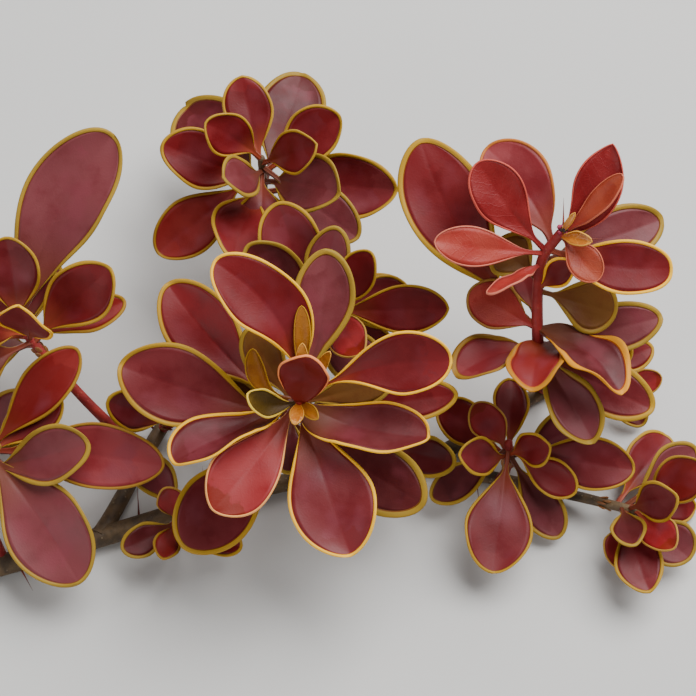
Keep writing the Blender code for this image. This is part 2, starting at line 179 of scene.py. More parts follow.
# Spines on the older wood, and the scales at each crown's foot, with lengths in millimetres
SPINES_FROM_FOOT = 6.0
SPINES_FROM_TIP = 3.0
SPINE_STEP = 12.5
SPINE_STEP_SPREAD = (0.9, 1.1)
SPINE_TRIES = 8
SPINE_LEAN = 0.25
SPINE_SEAT = 0.8
SPINE_LENGTH = (4.5, 7.0)
SPINE_RADIUS = 0.24
SPINE_TIP = 0.1
SPINE_SHANK = 0.6
SPINE_SWELL = 0.4
SPINE_ROWS = 6
SPINE_SIDES = 8
SPINE_CLEARANCE = 1.0
CHECKED_ON_SPINE = (0.3, 1, 6)
OLD_WOOD = ("main_stem", "left_bough", "right_bough")
SCALES = 7
SCALES_IN_A_RING = 4
SCALE_RING_GAP = 0.9
SCALE_SEAT = 0.9
SCALE_SPREAD = 0.35
SCALE_SIZE = (0.55, 0.22, 0.95)
SCALE_SIDES = 12

# Grains of the tall shoot's bud and of its foot: right, up, towards the viewer, size
BUD = ((-0.1, 0.1, 0.5, 0.36), (0.3, 0.15, 0.55, 0.3), (-0.4, -0.05, 0.4, 0.3), (0.1, -0.2, 0.5, 0.3),
       (0.55, 0.0, 0.35, 0.24), (-0.1, 0.4, 0.3, 0.28))
BUD_FOOT = ((-0.65, 0.5, 0.0, 0.44), (-0.6, -0.45, 0.1, 0.42), (0.4, -0.5, 0.0, 0.4), (-0.1, 0.6, -0.1, 0.4),
            (0.7, 0.2, -0.1, 0.36))
GRAIN_SIDES = 16
GRAIN_RINGS = 10
GRAIN_KNOBS = 2.4
GRAIN_GIRTH = 0.85
GRAIN_SWELL = 0.3

# Bristles by the bud: place and lie to the right, up and towards the viewer, then radius and length
BRISTLES = (((0.0, 0.5, 0.0), (0.0, 1.0, 0.1), 0.26, 5.0), ((3.2, -1.6, 1.5), (1.0, 0.0, 0.0), 0.24, 4.0))

# Bark and the cut end
FLARE = 0.35
OLD_RIDGES = 0.28
YOUNG_RIDGES = 0.12
RIDGES_ROUND = 2.6
RIDGE_RUN = 160.0
RELIEF_TOP = 0.9
ROUND_END = 1.02
OLD_SIDES = 36
YOUNG_SIDES = 24
BARK_STEP = 0.4
SEED_STEP = 7.3
CUT_SHARE = 0.97
CUT_SIDES = 40
CUT_RINGS = (0.02, 0.1, 0.2, 0.4, 0.6, 0.75, 0.84, 0.88, 0.93, 0.97)
SAW_SINK = 0.06
SAW_WAVE = 0.03
SAW_WAVES = 9

# Rings behind the sawn face: share of its radius, and how far they stand out of it
BACK_RINGS = ((1.0, -0.3), (0.5, -0.5))


def spot(right, up, toward):
    """Point that far right of, above and in front of the focus point for the viewer."""
    return FOCUS + right * RIGHT + up * UP + toward * TOWARD


def leaf(node, reach, width, rise=1.0, sway=0.0, cup=20, roll=0, stalk=0.14, neck=0.75, peak=0.58,
         lean=0.0, tip_power=0.52, wave=0.0, fold=0.012, tone=None):
    """One leaf: how far under the bud it is rooted, where its tip reaches, its shape, crease and colours."""
    return {"node": node, "tip": spot(*reach), "width": width, "rise": rise, "sway": sway, "cup": cup,
            "roll": roll, "stalk": stalk, "neck": neck, "peak": peak, "lean": lean, "tip_power": tip_power,
            "wave": wave, "fold": fold, "tone": tone}


# Each limb: its course, its radius at foot and tip, what it leaves, and how much of it bears leaves
LIMBS = {
    "main_stem": {"course": [(-78, -30, 2.25), (-45, -20, 2.6), (-15, -10, 2.6), (13, -5, 2.2), (30, 6, 1.9),
                             (50, 17, 1.35)],
                  "radii": (2.2, 1.3), "parent": None, "crown": 0},
    "left_bough": {"course": [(-45, -20, 2.6), (-36, 0, 2.0), (-24, 25, 1.4), (-18, 37, 5), (-16, 42, 15),
                              spot(-16, 35.5, -28)],
                   "radii": (1.6, 0.8), "parent": "main_stem", "crown": 14},
    "right_bough": {"course": [(13, -5, 2.2), (36, -10, 1.7), spot(54.5, -30, -20)],
                    "radii": (1.5, 0.9), "parent": "main_stem", "crown": 9},
    "front_shoot": {"course": [(-9, -8, 2.6), (-10, -9, 14), spot(-9.5, -10, -9), spot(-8, -9, 0)],
                    "radii": (1.2, 0.8), "parent": "main_stem", "crown": 17},
    "tall_shoot": {"course": [(37, 10.5, 1.8), (35.5, 8, 14), spot(33.5, 0.5, -12), spot(33, 9.5, -8),
                              spot(33.5, 15.5, -3.5), spot(36.5, 20, 1)],
                   "radii": (1.3, 0.9), "parent": "main_stem", "crown": 31},
    "upper_left_shoot": {"course": [(-37, -4, 2.2), (-47, 2, 12), spot(-61, 6.5, -16)],
                         "radii": (1.1, 0.8), "parent": "left_bough", "crown": 10},
    "far_left_shoot": {"course": [(-62, -25, 2.5), (-65, -17, 9), spot(-64.5, -15.5, -15)],
                       "radii": (1.1, 0.8), "parent": "main_stem", "crown": 9},
    "low_right_shoot": {"course": [(28, -8.5, 1.9), (29, -8, 7), spot(29, -16.5, -20)],
                        "radii": (0.9, 0.8), "parent": "right_bough", "crown": 6},
    "middle_shoot": {"course": [(-28, 17, 1.5), (-17, 18, 11), spot(-3, 7, -18)],
                     "radii": (1.0, 0.8), "parent": "left_bough", "crown": 10},
    "lower_spur": {"course": [(-30, -15.5, 2.6), (-30.5, -18, 6), (-31, -20, 9)],
                   "radii": (0.9, 0.7), "parent": "main_stem", "crown": 9},
    "inner_spur": {"course": [(6, -6.5, 2.4), (7, -4, 6), (8, -1, 10)],
                   "radii": (0.9, 0.7), "parent": "main_stem", "crown": 9},
    "side_spur": {"course": [(-35, 2, 2.0), (-32, 1.5, 6), (-29, 1, 10)],
                  "radii": (0.9, 0.7), "parent": "left_bough", "crown": 9},
    "end_spur": {"course": [(44, 14, 1.6), (47, 10, 5), (50, 7, 8)],
                 "radii": (0.8, 0.6), "parent": "main_stem", "crown": 12},
}

# Leaves placed one by one on the limb's crown that bears them
PLACED = {
    "front_shoot": [
        leaf(3, (-22.5, 14.4, 7), 12.6, rise=3, sway=-8.5, cup=32, roll=14, stalk=0.22, peak=0.54, lean=0.08,
             tip_power=0.46, fold=0.04, tone="crimson"),
        leaf(0.5, (-7, -1.2, 8), 9, rise=-1, stalk=0, neck=0.45, peak=0.6, tip_power=0.56, tone="fresh"),
        leaf(2.5, (17.5, -2.4, 5), 11.2, rise=3, sway=4.8, cup=26, stalk=0.2, neck=0.9, peak=0.66,
             tip_power=0.46, tone="crimson"),
        leaf(4, (13.9, -15, 2), 11.8, sway=-3.2, cup=32, roll=-38, stalk=0.05, peak=0.53, lean=0.12,
             tip_power=0.38, fold=0.025, tone="claret"),
        leaf(4.5, (0.5, -35.3, 2), 15.1, sway=0.1, cup=16, stalk=0.12, peak=0.62, tip_power=0.56,
             tone="wine"),
        leaf(4, (-22.9, -27.3, 4), 12, sway=1.6, cup=25, stalk=0.1, neck=0.65, peak=0.68, tip_power=0.6,
             tone="rose"),
        leaf(5.5, (-29.8, -19.5, 2), 12, sway=-0.4, cup=45, roll=48, stalk=0.12, peak=0.62, lean=-0.08,
             tip_power=0.42, fold=0.03, tone="claret"),
        leaf(10, (-3.9, 17.3, -7), 11, sway=-3.5, cup=15, stalk=0.25, peak=0.62, tone="mauve"),
        leaf(12.5, (-32, 11.5, -12), 13, sway=2, cup=24, stalk=0.28, fold=0.03, tone="crimson"),
        leaf(12.5, (-40, -3, -8), 14.5, sway=1, cup=15, stalk=0.22, tone="wine"),
        leaf(12, (19.3, -8, -9.5), 8, cup=15, stalk=0.3, tone="crimson"),
        leaf(14, (13.5, -27.5, -9), 12.5, cup=15, stalk=0.2, tone="dark"),
        leaf(14, (-29, -35, -9), 14, cup=15, stalk=0.25, tone="wine"),
        leaf(1.5, (-7.8, 7.2, 3.5), 3, sway=-0.5, peak=0.65, tone="russet"),
        leaf(1, (-3, -0.5, 4), 2.2, rise=-0.5, tone="bract"),
        leaf(6, (-16.3, 0, -3), 3.6, sway=5.5, peak=0.65, tone="russet"),
        leaf(2, (-5, -12, 3), 2.4, tone="russet"),
        leaf(2, (-9, -13, 3), 2.6, tone="bract"),
        leaf(2, (-17, -7.6, 4), 5.4, rise=-1.5, sway=2.8, cup=55, stalk=0.15, peak=0.55, tip_power=0.4,
             tone="olive"),
        leaf(1, (-7.6, 0.9, 5), 2.4, tone="bract"),
        leaf(9, (8, -5.5, -5), 7, cup=15, stalk=0.2, tone="moss"),
        leaf(9.5, (-17.5, 3.5, -5.5), 7.5, cup=15, stalk=0.2, tone="moss"),
        leaf(11, (-10.5, -22, -7), 7, cup=15, stalk=0.2, tone="dark"),
        leaf(15, (-24.5, -6.5, -13), 7.5, cup=15, stalk=0.2, tone="moss"),
    ],
    "tall_shoot": [
        leaf(5.5, (22, 31.6, 2), 9.5, sway=1.6, stalk=0.16, peak=0.62, tone="coral"),
        leaf(6, (14.5, 18, 2), 7, sway=0.5, cup=10, stalk=0.16, peak=0.62, tone="salmon"),
        leaf(8.5, (23.5, 9, 2), 5.5, cup=10, roll=68, stalk=0.12, tone="salmon"),
        leaf(2.5, (44.5, 34.4, 4), 8.6, sway=-3.2, peak=0.52, lean=0.06, tip_power=0.72, tone="coral"),
        leaf(1, (45.8, 29.1, 6), 4.6, sway=-1.6, cup=30, roll=-30, tone="amber"),
        leaf(1, (42, 11.2, 3), 6.1, sway=0.5, tone="amber"),
        leaf(5, (55.1, 13.6, 1), 9.7, sway=-2.5, stalk=0.1, peak=0.6, tip_power=0.4, tone="crimson"),
        leaf(3.5, (23.7, 34.6, -4), 12, sway=-2.5, cup=18, neck=0.55, tone="blush"),
        leaf(21, (12.5, 36.5, -8), 15, sway=5.3, cup=15, stalk=0.25, tone="crimson"),
        leaf(8, (55, 22.5, -8), 10, cup=15, tone="mauve"),
        leaf(27, (18.8, -5.2, -8), 10.8, sway=-3.4, cup=42, roll=46, tone="blush"),
        leaf(24, (31, -7.5, -1), 10.6, rise=2.5, cup=28, roll=20, stalk=0.04, neck=0.62, peak=0.5, lean=-0.05,
             tip_power=0.5, wave=0.08, tone="flame"),
        leaf(21, (46.8, -8, -1), 11, sway=4, cup=30, roll=-42, stalk=0.05, peak=0.55, wave=0.3, tone="plum"),
        leaf(26, (42.8, -16.5, -6), 10, cup=40, fold=0.045, tone="mauve"),
        leaf(28, (53.8, -11, -11), 10, tone="wine"),
        leaf(25, (55.5, 5.5, -12), 9, tone="mauve"),
        leaf(21, (21, 10, -9), 9, tone="salmon"),
        leaf(1.5, (41, 17.8, 4.5), 2.8, cup=50, tone="bract"),
        leaf(1, (38.2, 22.8, 4), 1.2, tone="bract"),
        leaf(12, (25.5, 18.5, -5.5), 9, cup=15, stalk=0.2, tone="moss"),
        leaf(14, (47, 6, -9), 10, cup=15, stalk=0.2, tone="moss"),
    ],
    "upper_left_shoot": [
        leaf(4, (-41.5, 38, -14), 15.5, sway=5.5, stalk=0.1, peak=0.6, tip_power=0.46, tone="mauve"),
        leaf(3, (-60, 19.5, -9), 11, sway=-1, cup=25, tone="wine"),
        leaf(6, (-40, 8.5, -20), 7, cup=30, tone="flame"),
    ],
    "left_bough": [
        leaf(3, (2, 20, -26), 10, stalk=0.2, tone="mauve"),
        leaf(4, (-16, 17.5, -28), 12, stalk=0.2, tone="wine"),
        leaf(4, (-35.5, 17.5, -30), 11, stalk=0.25, tone="flame"),
    ],
    "far_left_shoot": [
        leaf(3, (-32.5, -21, -14), 12, sway=2, stalk=0.15, tone="blush"),
        leaf(2, (-47, -41.5, -11), 15.5, sway=1.5, stalk=0.15, tone="mauve"),
        leaf(4, (-48, 0, -15), 9, stalk=0.2, tone="flame"),
    ],
    "low_right_shoot": [
        leaf(2, (25.5, -40, -14), 12.5, stalk=0.2, tone="wine"),
        leaf(2, (41, -26, -18), 7, stalk=0.2, tone="crimson"),
        leaf(2, (51.5, -22, -18), 10, stalk=0.2, tone="wine"),
        leaf(2, (15, -27.5, -22), 7, stalk=0.2, tone="dark"),
        leaf(3, (38.5, -34.5, -22), 8, stalk=0.2, tone="mauve"),
    ],
    "right_bough": [
        leaf(2, (62.5, -20, -14), 9, stalk=0.2, tone="flame"),
        leaf(2, (61.5, -38, -18), 9, stalk=0.2, tone="mauve"),
        leaf(2, (49, -40, -18), 10, stalk=0.2, tone="rose"),
    ],
    "middle_shoot": [
        leaf(2, (18, 7, -14), 9, cup=15, stalk=0.2, tone="crimson"),
    ],
}

# Leaves grown round each crown: how many, the first one's turn, the longest, and how far under the bud
GROWN = {
    "front_shoot": (0, 0, 0, 0),
    "tall_shoot": (3, 230, 18, 14),
    "upper_left_shoot": (9, 20, 25, 5),
    "left_bough": (11, 100, 27, 1),
    "far_left_shoot": (9, 150, 25, 4),
    "low_right_shoot": (6, 80, 20, 3),
    "right_bough": (9, 30, 22, 3),
    "middle_shoot": (9, 10, 24, 1),
    "lower_spur": (6, 200, 17, 1),
    "inner_spur": (6, 40, 17, 1),
    "side_spur": (6, 120, 17, 1),
    "end_spur": (6, 300, 15, 1),
}
GROWN_TONES = ("crimson", "wine", "mauve", "wine", "crimson", "dark")
TOP_TONES = ("crimson", "rose", "flame")

# Colours of each tone: blade, its second shade, neck, rim, the line inside the rim, and rim width in mm
TONES = {
    "crimson": ((0.12, 0.001, 0.0025), (0.16, 0.005, 0.007), (0.3, 0.05, 0.02), (1.0, 0.53, 0.022),
                (0.4, 0.07, 0.01), 0.44),
    "wine": ((0.125, 0.005, 0.008), (0.16, 0.014, 0.017), (0.24, 0.042, 0.017), (0.95, 0.51, 0.022),
             (0.36, 0.07, 0.012), 0.46),
    "claret": ((0.09, 0.004, 0.006), (0.125, 0.013, 0.016), (0.12, 0.03, 0.01), (0.92, 0.48, 0.02),
               (0.34, 0.07, 0.012), 0.46),
    "plum": ((0.08, 0.003, 0.005), (0.11, 0.011, 0.014), (0.12, 0.03, 0.01), (0.7, 0.285, 0.016),
             (0.34, 0.07, 0.012), 0.46),
    "mauve": ((0.14, 0.02, 0.024), (0.175, 0.034, 0.039), (0.17, 0.042, 0.02), (0.52, 0.35, 0.05),
              (0.26, 0.085, 0.025), 0.62),
    "dark": ((0.072, 0.003, 0.005), (0.1, 0.008, 0.009), (0.12, 0.023, 0.008), (0.46, 0.31, 0.035),
             (0.19, 0.06, 0.01), 0.6),
    "flame": ((0.17, 0.004, 0.003), (0.21, 0.01, 0.008), (0.2, 0.025, 0.008), (0.46, 0.185, 0.013),
              (0.43, 0.085, 0.016), 0.46),
    "fresh": ((0.14, 0.0015, 0.0025), (0.18, 0.005, 0.006), (0.17, 0.01, 0.006), (0.95, 0.29, 0.09),
              (0.43, 0.035, 0.016), 0.28),
    "rose": ((0.235, 0.008, 0.01), (0.28, 0.02, 0.021), (0.23, 0.034, 0.017), (0.9, 0.4, 0.12),
             (0.43, 0.07, 0.034), 0.26),
    "blush": ((0.2, 0.013, 0.017), (0.25, 0.03, 0.034), (0.2, 0.025, 0.012), (0.5, 0.16, 0.03),
              (0.43, 0.085, 0.034), 0.44),
    "coral": ((0.185, 0.004, 0.005), (0.225, 0.011, 0.011), (0.24, 0.012, 0.011), (0.55, 0.085, 0.06),
              (0.35, 0.037, 0.03), 0.22),
    "salmon": ((0.32, 0.02, 0.015), (0.37, 0.042, 0.027), (0.31, 0.023, 0.018), (0.62, 0.17, 0.11),
               (0.43, 0.065, 0.042), 0.2),
    "amber": ((0.26, 0.026, 0.011), (0.33, 0.05, 0.02), (0.25, 0.02, 0.012), (0.58, 0.14, 0.075),
              (0.38, 0.066, 0.03), 0.18),
    "bract": ((0.48, 0.135, 0.009), (0.67, 0.26, 0.034), (0.36, 0.085, 0.01), (0.7, 0.33, 0.05),
              (0.45, 0.17, 0.03), 0.14),
    "moss": ((0.12, 0.026, 0.006), (0.165, 0.062, 0.009), (0.17, 0.055, 0.012), (0.4, 0.25, 0.035),
             (0.2, 0.09, 0.014), 0.44),
    "russet": ((0.26, 0.075, 0.005), (0.34, 0.12, 0.009), (0.22, 0.055, 0.007), (0.44, 0.22, 0.018),
               (0.3, 0.09, 0.01), 0.16),
    "olive": ((0.075, 0.04, 0.004), (0.11, 0.06, 0.006), (0.08, 0.035, 0.006), (0.8, 0.54, 0.06),
              (0.28, 0.14, 0.016), 0.36),
}
# Painted sheen: the mauve mixed into the blades in patches, standing in for reflected light
PAINTED_SHEEN = (0.2, 0.033, 0.046)
ROSE_TIP = (0.2, 0.012, 0.004)
# Rims of low leaves set behind the focus: a khaki for their age, darkened as painted shade; the share of the
# rim's own colour kept, and how far behind the focus this begins
AGED_SHADED_RIM = (0.32, 0.185, 0.02)
AGED_SHADED_LINE = (0.17, 0.055, 0.01)
OWN_SHARE = 0.2
AGED_SHADED_BEHIND = -5.0
RIM_GAIN_BY_NODE = 0.07
WIDEST_GAIN = 2.2
WIDEST_RIM = 0.1
YOUNG_TONES = ("salmon", "coral", "amber", "bract", "russet", "olive")
YOUNG_VEINS = 0.8
GROWN_VEINS = 0.14
# How much painted sheen each tone's blades get
PAINTED_SHEEN_SHARE = 0.55
PAINTED_SHEEN_SHARES = {"crimson": 0.3, "moss": 0.0, **dict.fromkeys(YOUNG_TONES, 0.0)}
GLOSS = {"bract": 0.2}
UNDERSIDE = ((0.145, 0.038, 0.034), (0.19, 0.077, 0.051))
SHEEN_ROUGHNESS = 0.45
SHEEN_TINT = (1.0, 0.72, 0.8)

# Colours of bark, spines, scales and buds: dark, light, fleck, and a sheen where there is one
BARKS = {
    "old_bark": ((0.06, 0.036, 0.018), (0.15, 0.09, 0.038), (0.26, 0.19, 0.1)),
    "spine": ((0.13, 0.014, 0.01), (0.24, 0.035, 0.016), (0.3, 0.09, 0.04)),
    "scale": ((0.2, 0.06, 0.02), (0.34, 0.14, 0.035), (0.4, 0.24, 0.1)),
    "bud": ((0.012, 0.006, 0.005), (0.05, 0.022, 0.012), (0.5, 0.42, 0.24)),
    "bud_foot": ((0.22, 0.006, 0.03), (0.4, 0.03, 0.09), (0.5, 0.12, 0.16)),
    "young_bark": ((0.22, 0.007, 0.008), (0.33, 0.02, 0.015), (0.38, 0.08, 0.045), 0.05),
}
WOOD = (0.62, 0.44, 0.1)
RING = (0.5, 0.32, 0.06)
PITH = (0.3, 0.17, 0.06)
GREEN_RING = (0.2, 0.26, 0.05)
BARK_EDGE = (0.09, 0.055, 0.025)

# How far the year rings' sine turns from the middle of the cut to its edge, in radians
RING_TURN = 34.0

# The blade's coat: its gloss, plain and by the noise, and where one look passes into the next
BLADE_SPECULAR = 0.3
BLADE_SHEEN = 0.02
BLADE_PLAIN = 0.46
BLADE_ROUGHNESS = (0.42, 0.56)
SECOND_SHADE = (0.45, 0.85)
TINT_SHARE = 0.3
# Where the painted sheen lies: fading out towards the blade's edge, and only where the noise is high
PAINTED_SHEEN_INSIDE = (0.55, 0.95)
PAINTED_SHEEN_EDGE = (0.46, 0.66)
TIP_SHADE = (0.98, 1.02)
TIP_RAGGED = 0.3
NECK_SHADE = (0.12, 0.5)
VEINS_SUNK = -1.4
GRAIN_SHARE = 0.5

# The coats of the rims, the underside, the bark and the cut wood in the same way
RIM_SPECULAR = 0.14
RIM_PLAIN = 0.4
RIM_ROUGHNESS = (0.32, 0.5)
UNDERSIDE_SHEEN = 0.2
UNDERSIDE_ROUGHNESS = 0.6
UNDERSIDE_SHADE = (0.3, 0.7)
BARK_SHADE = (0.35, 0.65)
BARK_PLAIN = 0.6
BARK_ROUGHNESS = (0.48, 0.75)
CUT_ROUGHNESS = 0.7
PORE_EDGE = (0.12, 0.2)
PORE_SHARE = 0.6
PORE_HEIGHT = 0.5
MOST_OF_NOISE = (0.25, 0.75)
NEARLY_ALL_NOISE = (0.2, 0.8)
RING_SHADE = (0.2, 1.0, 0.0, 0.5)
PITH_EDGE = (0.08, 0.14)
GREEN_EDGE = (0.83, 0.86)
BARK_BEGINS = (0.91, 0.94)

# Relief of each coat: its strength and its depth
BLADE_BUMP = (0.3, 0.12 * MM)
RIM_BUMP = (0.25, 0.1 * MM)
UNDERSIDE_BUMP = (0.5, 0.15 * MM)
BARK_BUMP = (0.5, 0.2 * MM)
SAW_BUMP = (0.4, 0.1 * MM)

# Fineness of the patterns in the coats, in cells to a metre
BLADE_MOTTLE = 260.0
# Size of the painted sheen's patches
PAINTED_SHEEN_PATCHES = 140.0
TIP_EDGE = 400.0
BLADE_GRAIN = 2600.0
RIM_GRAIN = 1800.0
UNDERSIDE_MOTTLE = 240.0
BARK_MOTTLE = 320.0
BARK_GRAIN = 2400.0
PORES = 900.0
SAW_GRAIN = 3000.0

# Veins, in millimetres of the blade's own plane, and how much each kind stands out
VEIN_SLANT = 0.85
VEIN_GAP = 1.15
VEIN_WIDTH = 0.16
VEIN_SHARE = 0.6
VEIN_WANDER = 0.5
VEIN_WANDER_REACH = 1.6
NET_CELLS = 1.5
NET_WIDTH = 0.12
NET_SHARE = 0.35

# Floor and light, in metres and watts: each lamp's place, width and power
FLOOR_REACH = 3.0
FLOOR_COLOUR = (0.64, 0.63, 0.61)
FLOOR_ROUGHNESS = 0.85
SKY = (0.95, 0.97, 1.0)
SKY_STRENGTH = 0.24
LAMPS = {"key": ((0.28, 0.24, 0.62), 0.6, 10.0), "fill": ((-0.5, -0.5, 0.3), 0.5, 2.0)}

# A colour mix node's sockets: its share and its two colours, and the mixed colour
COLOUR_MIX_INPUTS = (0, 6, 7)
COLOUR_MIX_OUTPUT = 2


def unit(v):
    v = np.asarray(v, float)
    return v / np.linalg.norm(v, axis=-1, keepdims=True)


def smooth_course(points):
    """Points along a rounded curve through the given ones, about a millimetre apart."""
    p = [np.asarray(x, float) for x in points]
    p = [2 * p[0] - p[1]] + p + [2 * p[-1] - p[-2]]
    dense = []
    for a, b, c, d in zip(p, p[1:], p[2:], p[3:]):
        for t in np.linspace(0, 1, COURSE_STEPS, endpoint=False):
            dense.append(0.5 * (2 * b + (c - a) * t + (2 * a - 5 * b + 4 * c - d) * t ** 2
                                + (3 * b - a - 3 * c + d) * t ** 3))
    dense.append(p[-2])
    dense = np.array(dense)
    run = np.concatenate([[0], np.cumsum(np.linalg.norm(np.diff(dense, axis=0), axis=1))])
    want = np.linspace(0, run[-1], max(2, round(run[-1])) + 1)
    return np.stack([np.interp(want, run, dense[:, k]) for k in range(3)], -1), want


def along_limb(limb, distance):
    """Place and direction on a limb at a distance from its foot."""
    line, run = limb["line"], limb["run"]
    before, after = max(distance - DIRECTION_REACH, 0), min(distance + DIRECTION_REACH, run[-1])
    place, low, high = (np.array([np.interp(where, run, line[:, k]) for k in range(3)])
                        for where in (distance, before, after))
    return place, unit(high - low)


def bark_radius(limb, distance):
    foot, tip = limb["radii"]
    return foot + (tip - foot) * distance / limb["run"][-1]


def square_to(direction):
    """Two directions square to this one and to each other."""
    helper = RIGHT if abs(direction[0]) < NEAR_RIGHT else UP
    first = unit(np.cross(direction, helper))
    return first, np.cross(direction, first)


def clear_foot(limb, parent):
    """Distance along a limb at which its end ring first stands clear of its parent."""
    turns = np.linspace(0, 2 * math.pi, RING_POINTS, endpoint=False)
    bark = bark_radius(parent, parent["run"])
    distance = 0.0
    while True:
        place, direction = along_limb(limb, distance)
        e1, e2 = square_to(direction)
        circle = np.outer(np.cos(turns), e1) + np.outer(np.sin(turns), e2)
        ring = place + bark_radius(limb, distance) * circle
        apart = np.linalg.norm(ring[:, None] - parent["line"][None], axis=2)
        if (apart - bark).min() > GAP:
            return distance
        distance += FOOT_STEP


def lay_limbs():
    """Every limb with its line, and where its bark begins and its crown takes over."""
    limbs = {}
    for name, plan in LIMBS.items():
        line, run = smooth_course(plan["course"])
        limb = dict(plan, line=line, run=run)
        limb["start"] = clear_foot(limb, limbs[plan["parent"]]) if plan["parent"] else 0.0
        limb["end"] = max(limb["start"], run[-1] - plan["crown"])
        limbs[name] = limb
    return limbs


def half_width(u, shape, side):
    """The blade's width at u to one side of its midrib: narrow stalk, widest past the middle, round tip."""
    peak = shape["peak"] + shape["lean"] * np.sign(side)
    ramp = (u - shape["stalk"]) / (1 - shape["stalk"])
    x = np.clip((ramp + np.sqrt(ramp * ramp + SOFT_NECK)) / 2, 0, 1)
    swell = np.sin(math.pi * x ** (math.log(0.5) / np.log(peak)))
    power = np.where(x < peak, shape["neck"], shape["tip_power"])
    blade = shape["width"] / 2 * np.maximum(swell, LEAST_SWELL) ** power
    return np.hypot(blade, STALK_HALF_WIDTH * np.clip(1 - STALK_FADES * u, 0, 1))


def leaf_frame(shape, u):
    """Midrib points, sideways directions and upward directions at u along a leaf."""
    root, tip = shape["root"], shape["tip"]
    chord = tip - root
    side = unit(np.cross(TOWARD, chord))
    over = unit(np.cross(chord, side))
    elbow = (root + tip) / 2 + shape["rise"] * over + shape["sway"] * side
    k = u[..., None]
    middle = (1 - k) ** 2 * root + 2 * k * (1 - k) * elbow + k ** 2 * tip
    along = unit((1 - k) * (elbow - root) + k * (tip - elbow))
    sideways = unit(side - (along @ side)[..., None] * along)
    upward = np.cross(along, sideways)
    roll = np.radians(shape["roll"] * np.minimum(1, ROLL_COMES * u))[..., None]
    return (middle, np.cos(roll) * sideways + np.sin(roll) * upward,
            np.cos(roll) * upward - np.sin(roll) * sideways)


def leaf_surface(shape, u, v):
    """Points of the blade's middle layer and its upward normals, u along and v across."""
    middle, sideways, upward = leaf_frame(shape, u)
    w = half_width(u, shape, v)
    bend = math.radians(shape["cup"])
    x = w * np.sin(bend * v) / bend
    z = w * (1 - np.cos(bend * v)) / bend
    ripple = shape["wave"] * shape["width"] / 2 * np.abs(v) ** 3 * np.sin(math.pi * u)
    z = z + ripple * np.sin(WAVE_BENDS * math.pi * u + WAVE_SHIFT * (v > 0))
    tilt = (bend * v)[..., None]
    return (middle + x[..., None] * sideways + z[..., None] * upward,
            np.cos(tilt) * upward - np.sin(tilt) * sideways)


def leaf_samples(shape):
    """Rows of points over a leaf, from its root to its tip, to test its room with."""
    u, v = np.meshgrid(np.linspace(FIRST_SAMPLE, 1, SAMPLES_ALONG), np.linspace(-1, 1, SAMPLES_ACROSS),
                       indexing="ij")
    return leaf_surface(shape, u, v)[0].reshape(-1, 3)


def apart(points, others):
    return np.sqrt(((points[:, None] - others[None]) ** 2).sum(2))


def limb_points(limbs):
    """Points on every limb's line with their radii."""
    places = []
    radii = []
    for limb in limbs.values():
        keep = limb["run"] <= limb["end"]
        places.append(limb["line"][keep])
        radii.append(bark_radius(limb, limb["run"])[keep])
    return np.concatenate(places), np.concatenate(radii)


def fits(shape, crown, kept, wood, clear_of_kin):
    """Whether a leaf clears the floor, the limbs and other crowns, and its own kin if asked."""
    points = leaf_samples(shape)
    if points[:, 2].min() < FLOOR_CLEARANCE:
        return False
    places, radii = wood
    if (apart(points[ROWS_AT_LIMB * SAMPLES_ACROSS:], places) - radii).min() < CLEAR_OF_LIMBS:
        return False
    outer = ROWS_AT_KIN * SAMPLES_ACROSS
    for other, leaves in kept.items():
        for mate in leaves:
            if other != crown and apart(points, mate["samples"]).min() < CLEAR_OF_OTHERS:
                return False
            if other == crown and clear_of_kin:
                if apart(points[outer:], mate["samples"][outer:]).min() < CLEAR_OF_KIN:
                    return False
    shape["samples"] = points
    return True


def grow_leaves(limbs):
    """Placed leaves first, then leaves round each crown by rule wherever they have room."""
    wood = limb_points(limbs)
    kept = {name: [] for name in GROWN}
    for name, shapes in PLACED.items():
        limb = limbs[name]
        for shape in shapes:
            shape = dict(shape, root=along_limb(limb, limb["run"][-1] - shape["node"])[0])
            if fits(shape, name, kept, wood, False):
                kept[name].append(shape)
    for name, (count, first_turn, longest, top) in GROWN.items():
        chance = random.Random(name)
        tone_chance = random.Random(name + " tones")
        limb = limbs[name]
        for k in range(count):
            age = k / count
            node = top + (limb["crown"] - CROWN_FOOT - top) * age
            place, axis = along_limb(limb, limb["run"][-1] - node)
            e1, e2 = square_to(axis)
            size = longest * (TOP_SIZE + (1 - TOP_SIZE) * age) * chance.uniform(*SIZE_SPREAD)
            spread = chance.uniform(-LIFT_SPREAD, LIFT_SPREAD)
            lift = math.radians(TOP_LIFT - (TOP_LIFT - LOWEST_LIFT) * age + spread)
            ratio = chance.uniform(*WIDTH_SPREAD)
            sway = chance.uniform(-SWAY_SPREAD, SWAY_SPREAD)
            cup = chance.uniform(*CUP_SPREAD)
            tone = tone_chance.choice(TOP_TONES if k < TOP_LEAVES else GROWN_TONES)
            for shift, shrink in TRIES:
                turn = math.radians(first_turn + GOLDEN_TURN * k + shift)
                out = math.cos(turn) * e1 + math.sin(turn) * e2
                reach = size * shrink * (math.cos(lift) * out + math.sin(lift) * axis)
                shape = leaf(node, (0, 0, 0), size * shrink * ratio, rise=ARCH * size, sway=sway * size,
                             cup=cup, stalk=GROWN_STALK, peak=GROWN_PEAK, lean=GROWN_LEAN * (-1) ** k,
                             tone=tone)
                shape.update(root=place, tip=place + reach)
                if fits(shape, name, kept, wood, True):
                    kept[name].append(shape)
                    break
    return kept


def ease(x, low, high):
    """0 below low, 1 above high, and a soft step between them."""
    t = np.clip((x - low) / (high - low), 0, 1)
    return t * t * (3 - 2 * t)


def evenly(line, count):
    """That many points evenly spaced along a flat line."""
    run = np.concatenate([[0], np.cumsum(np.linalg.norm(np.diff(line, axis=0), axis=1))])
    want = np.linspace(0, run[-1], count)
    return np.stack([np.interp(want, run, line[:, k]) for k in range(2)], -1)


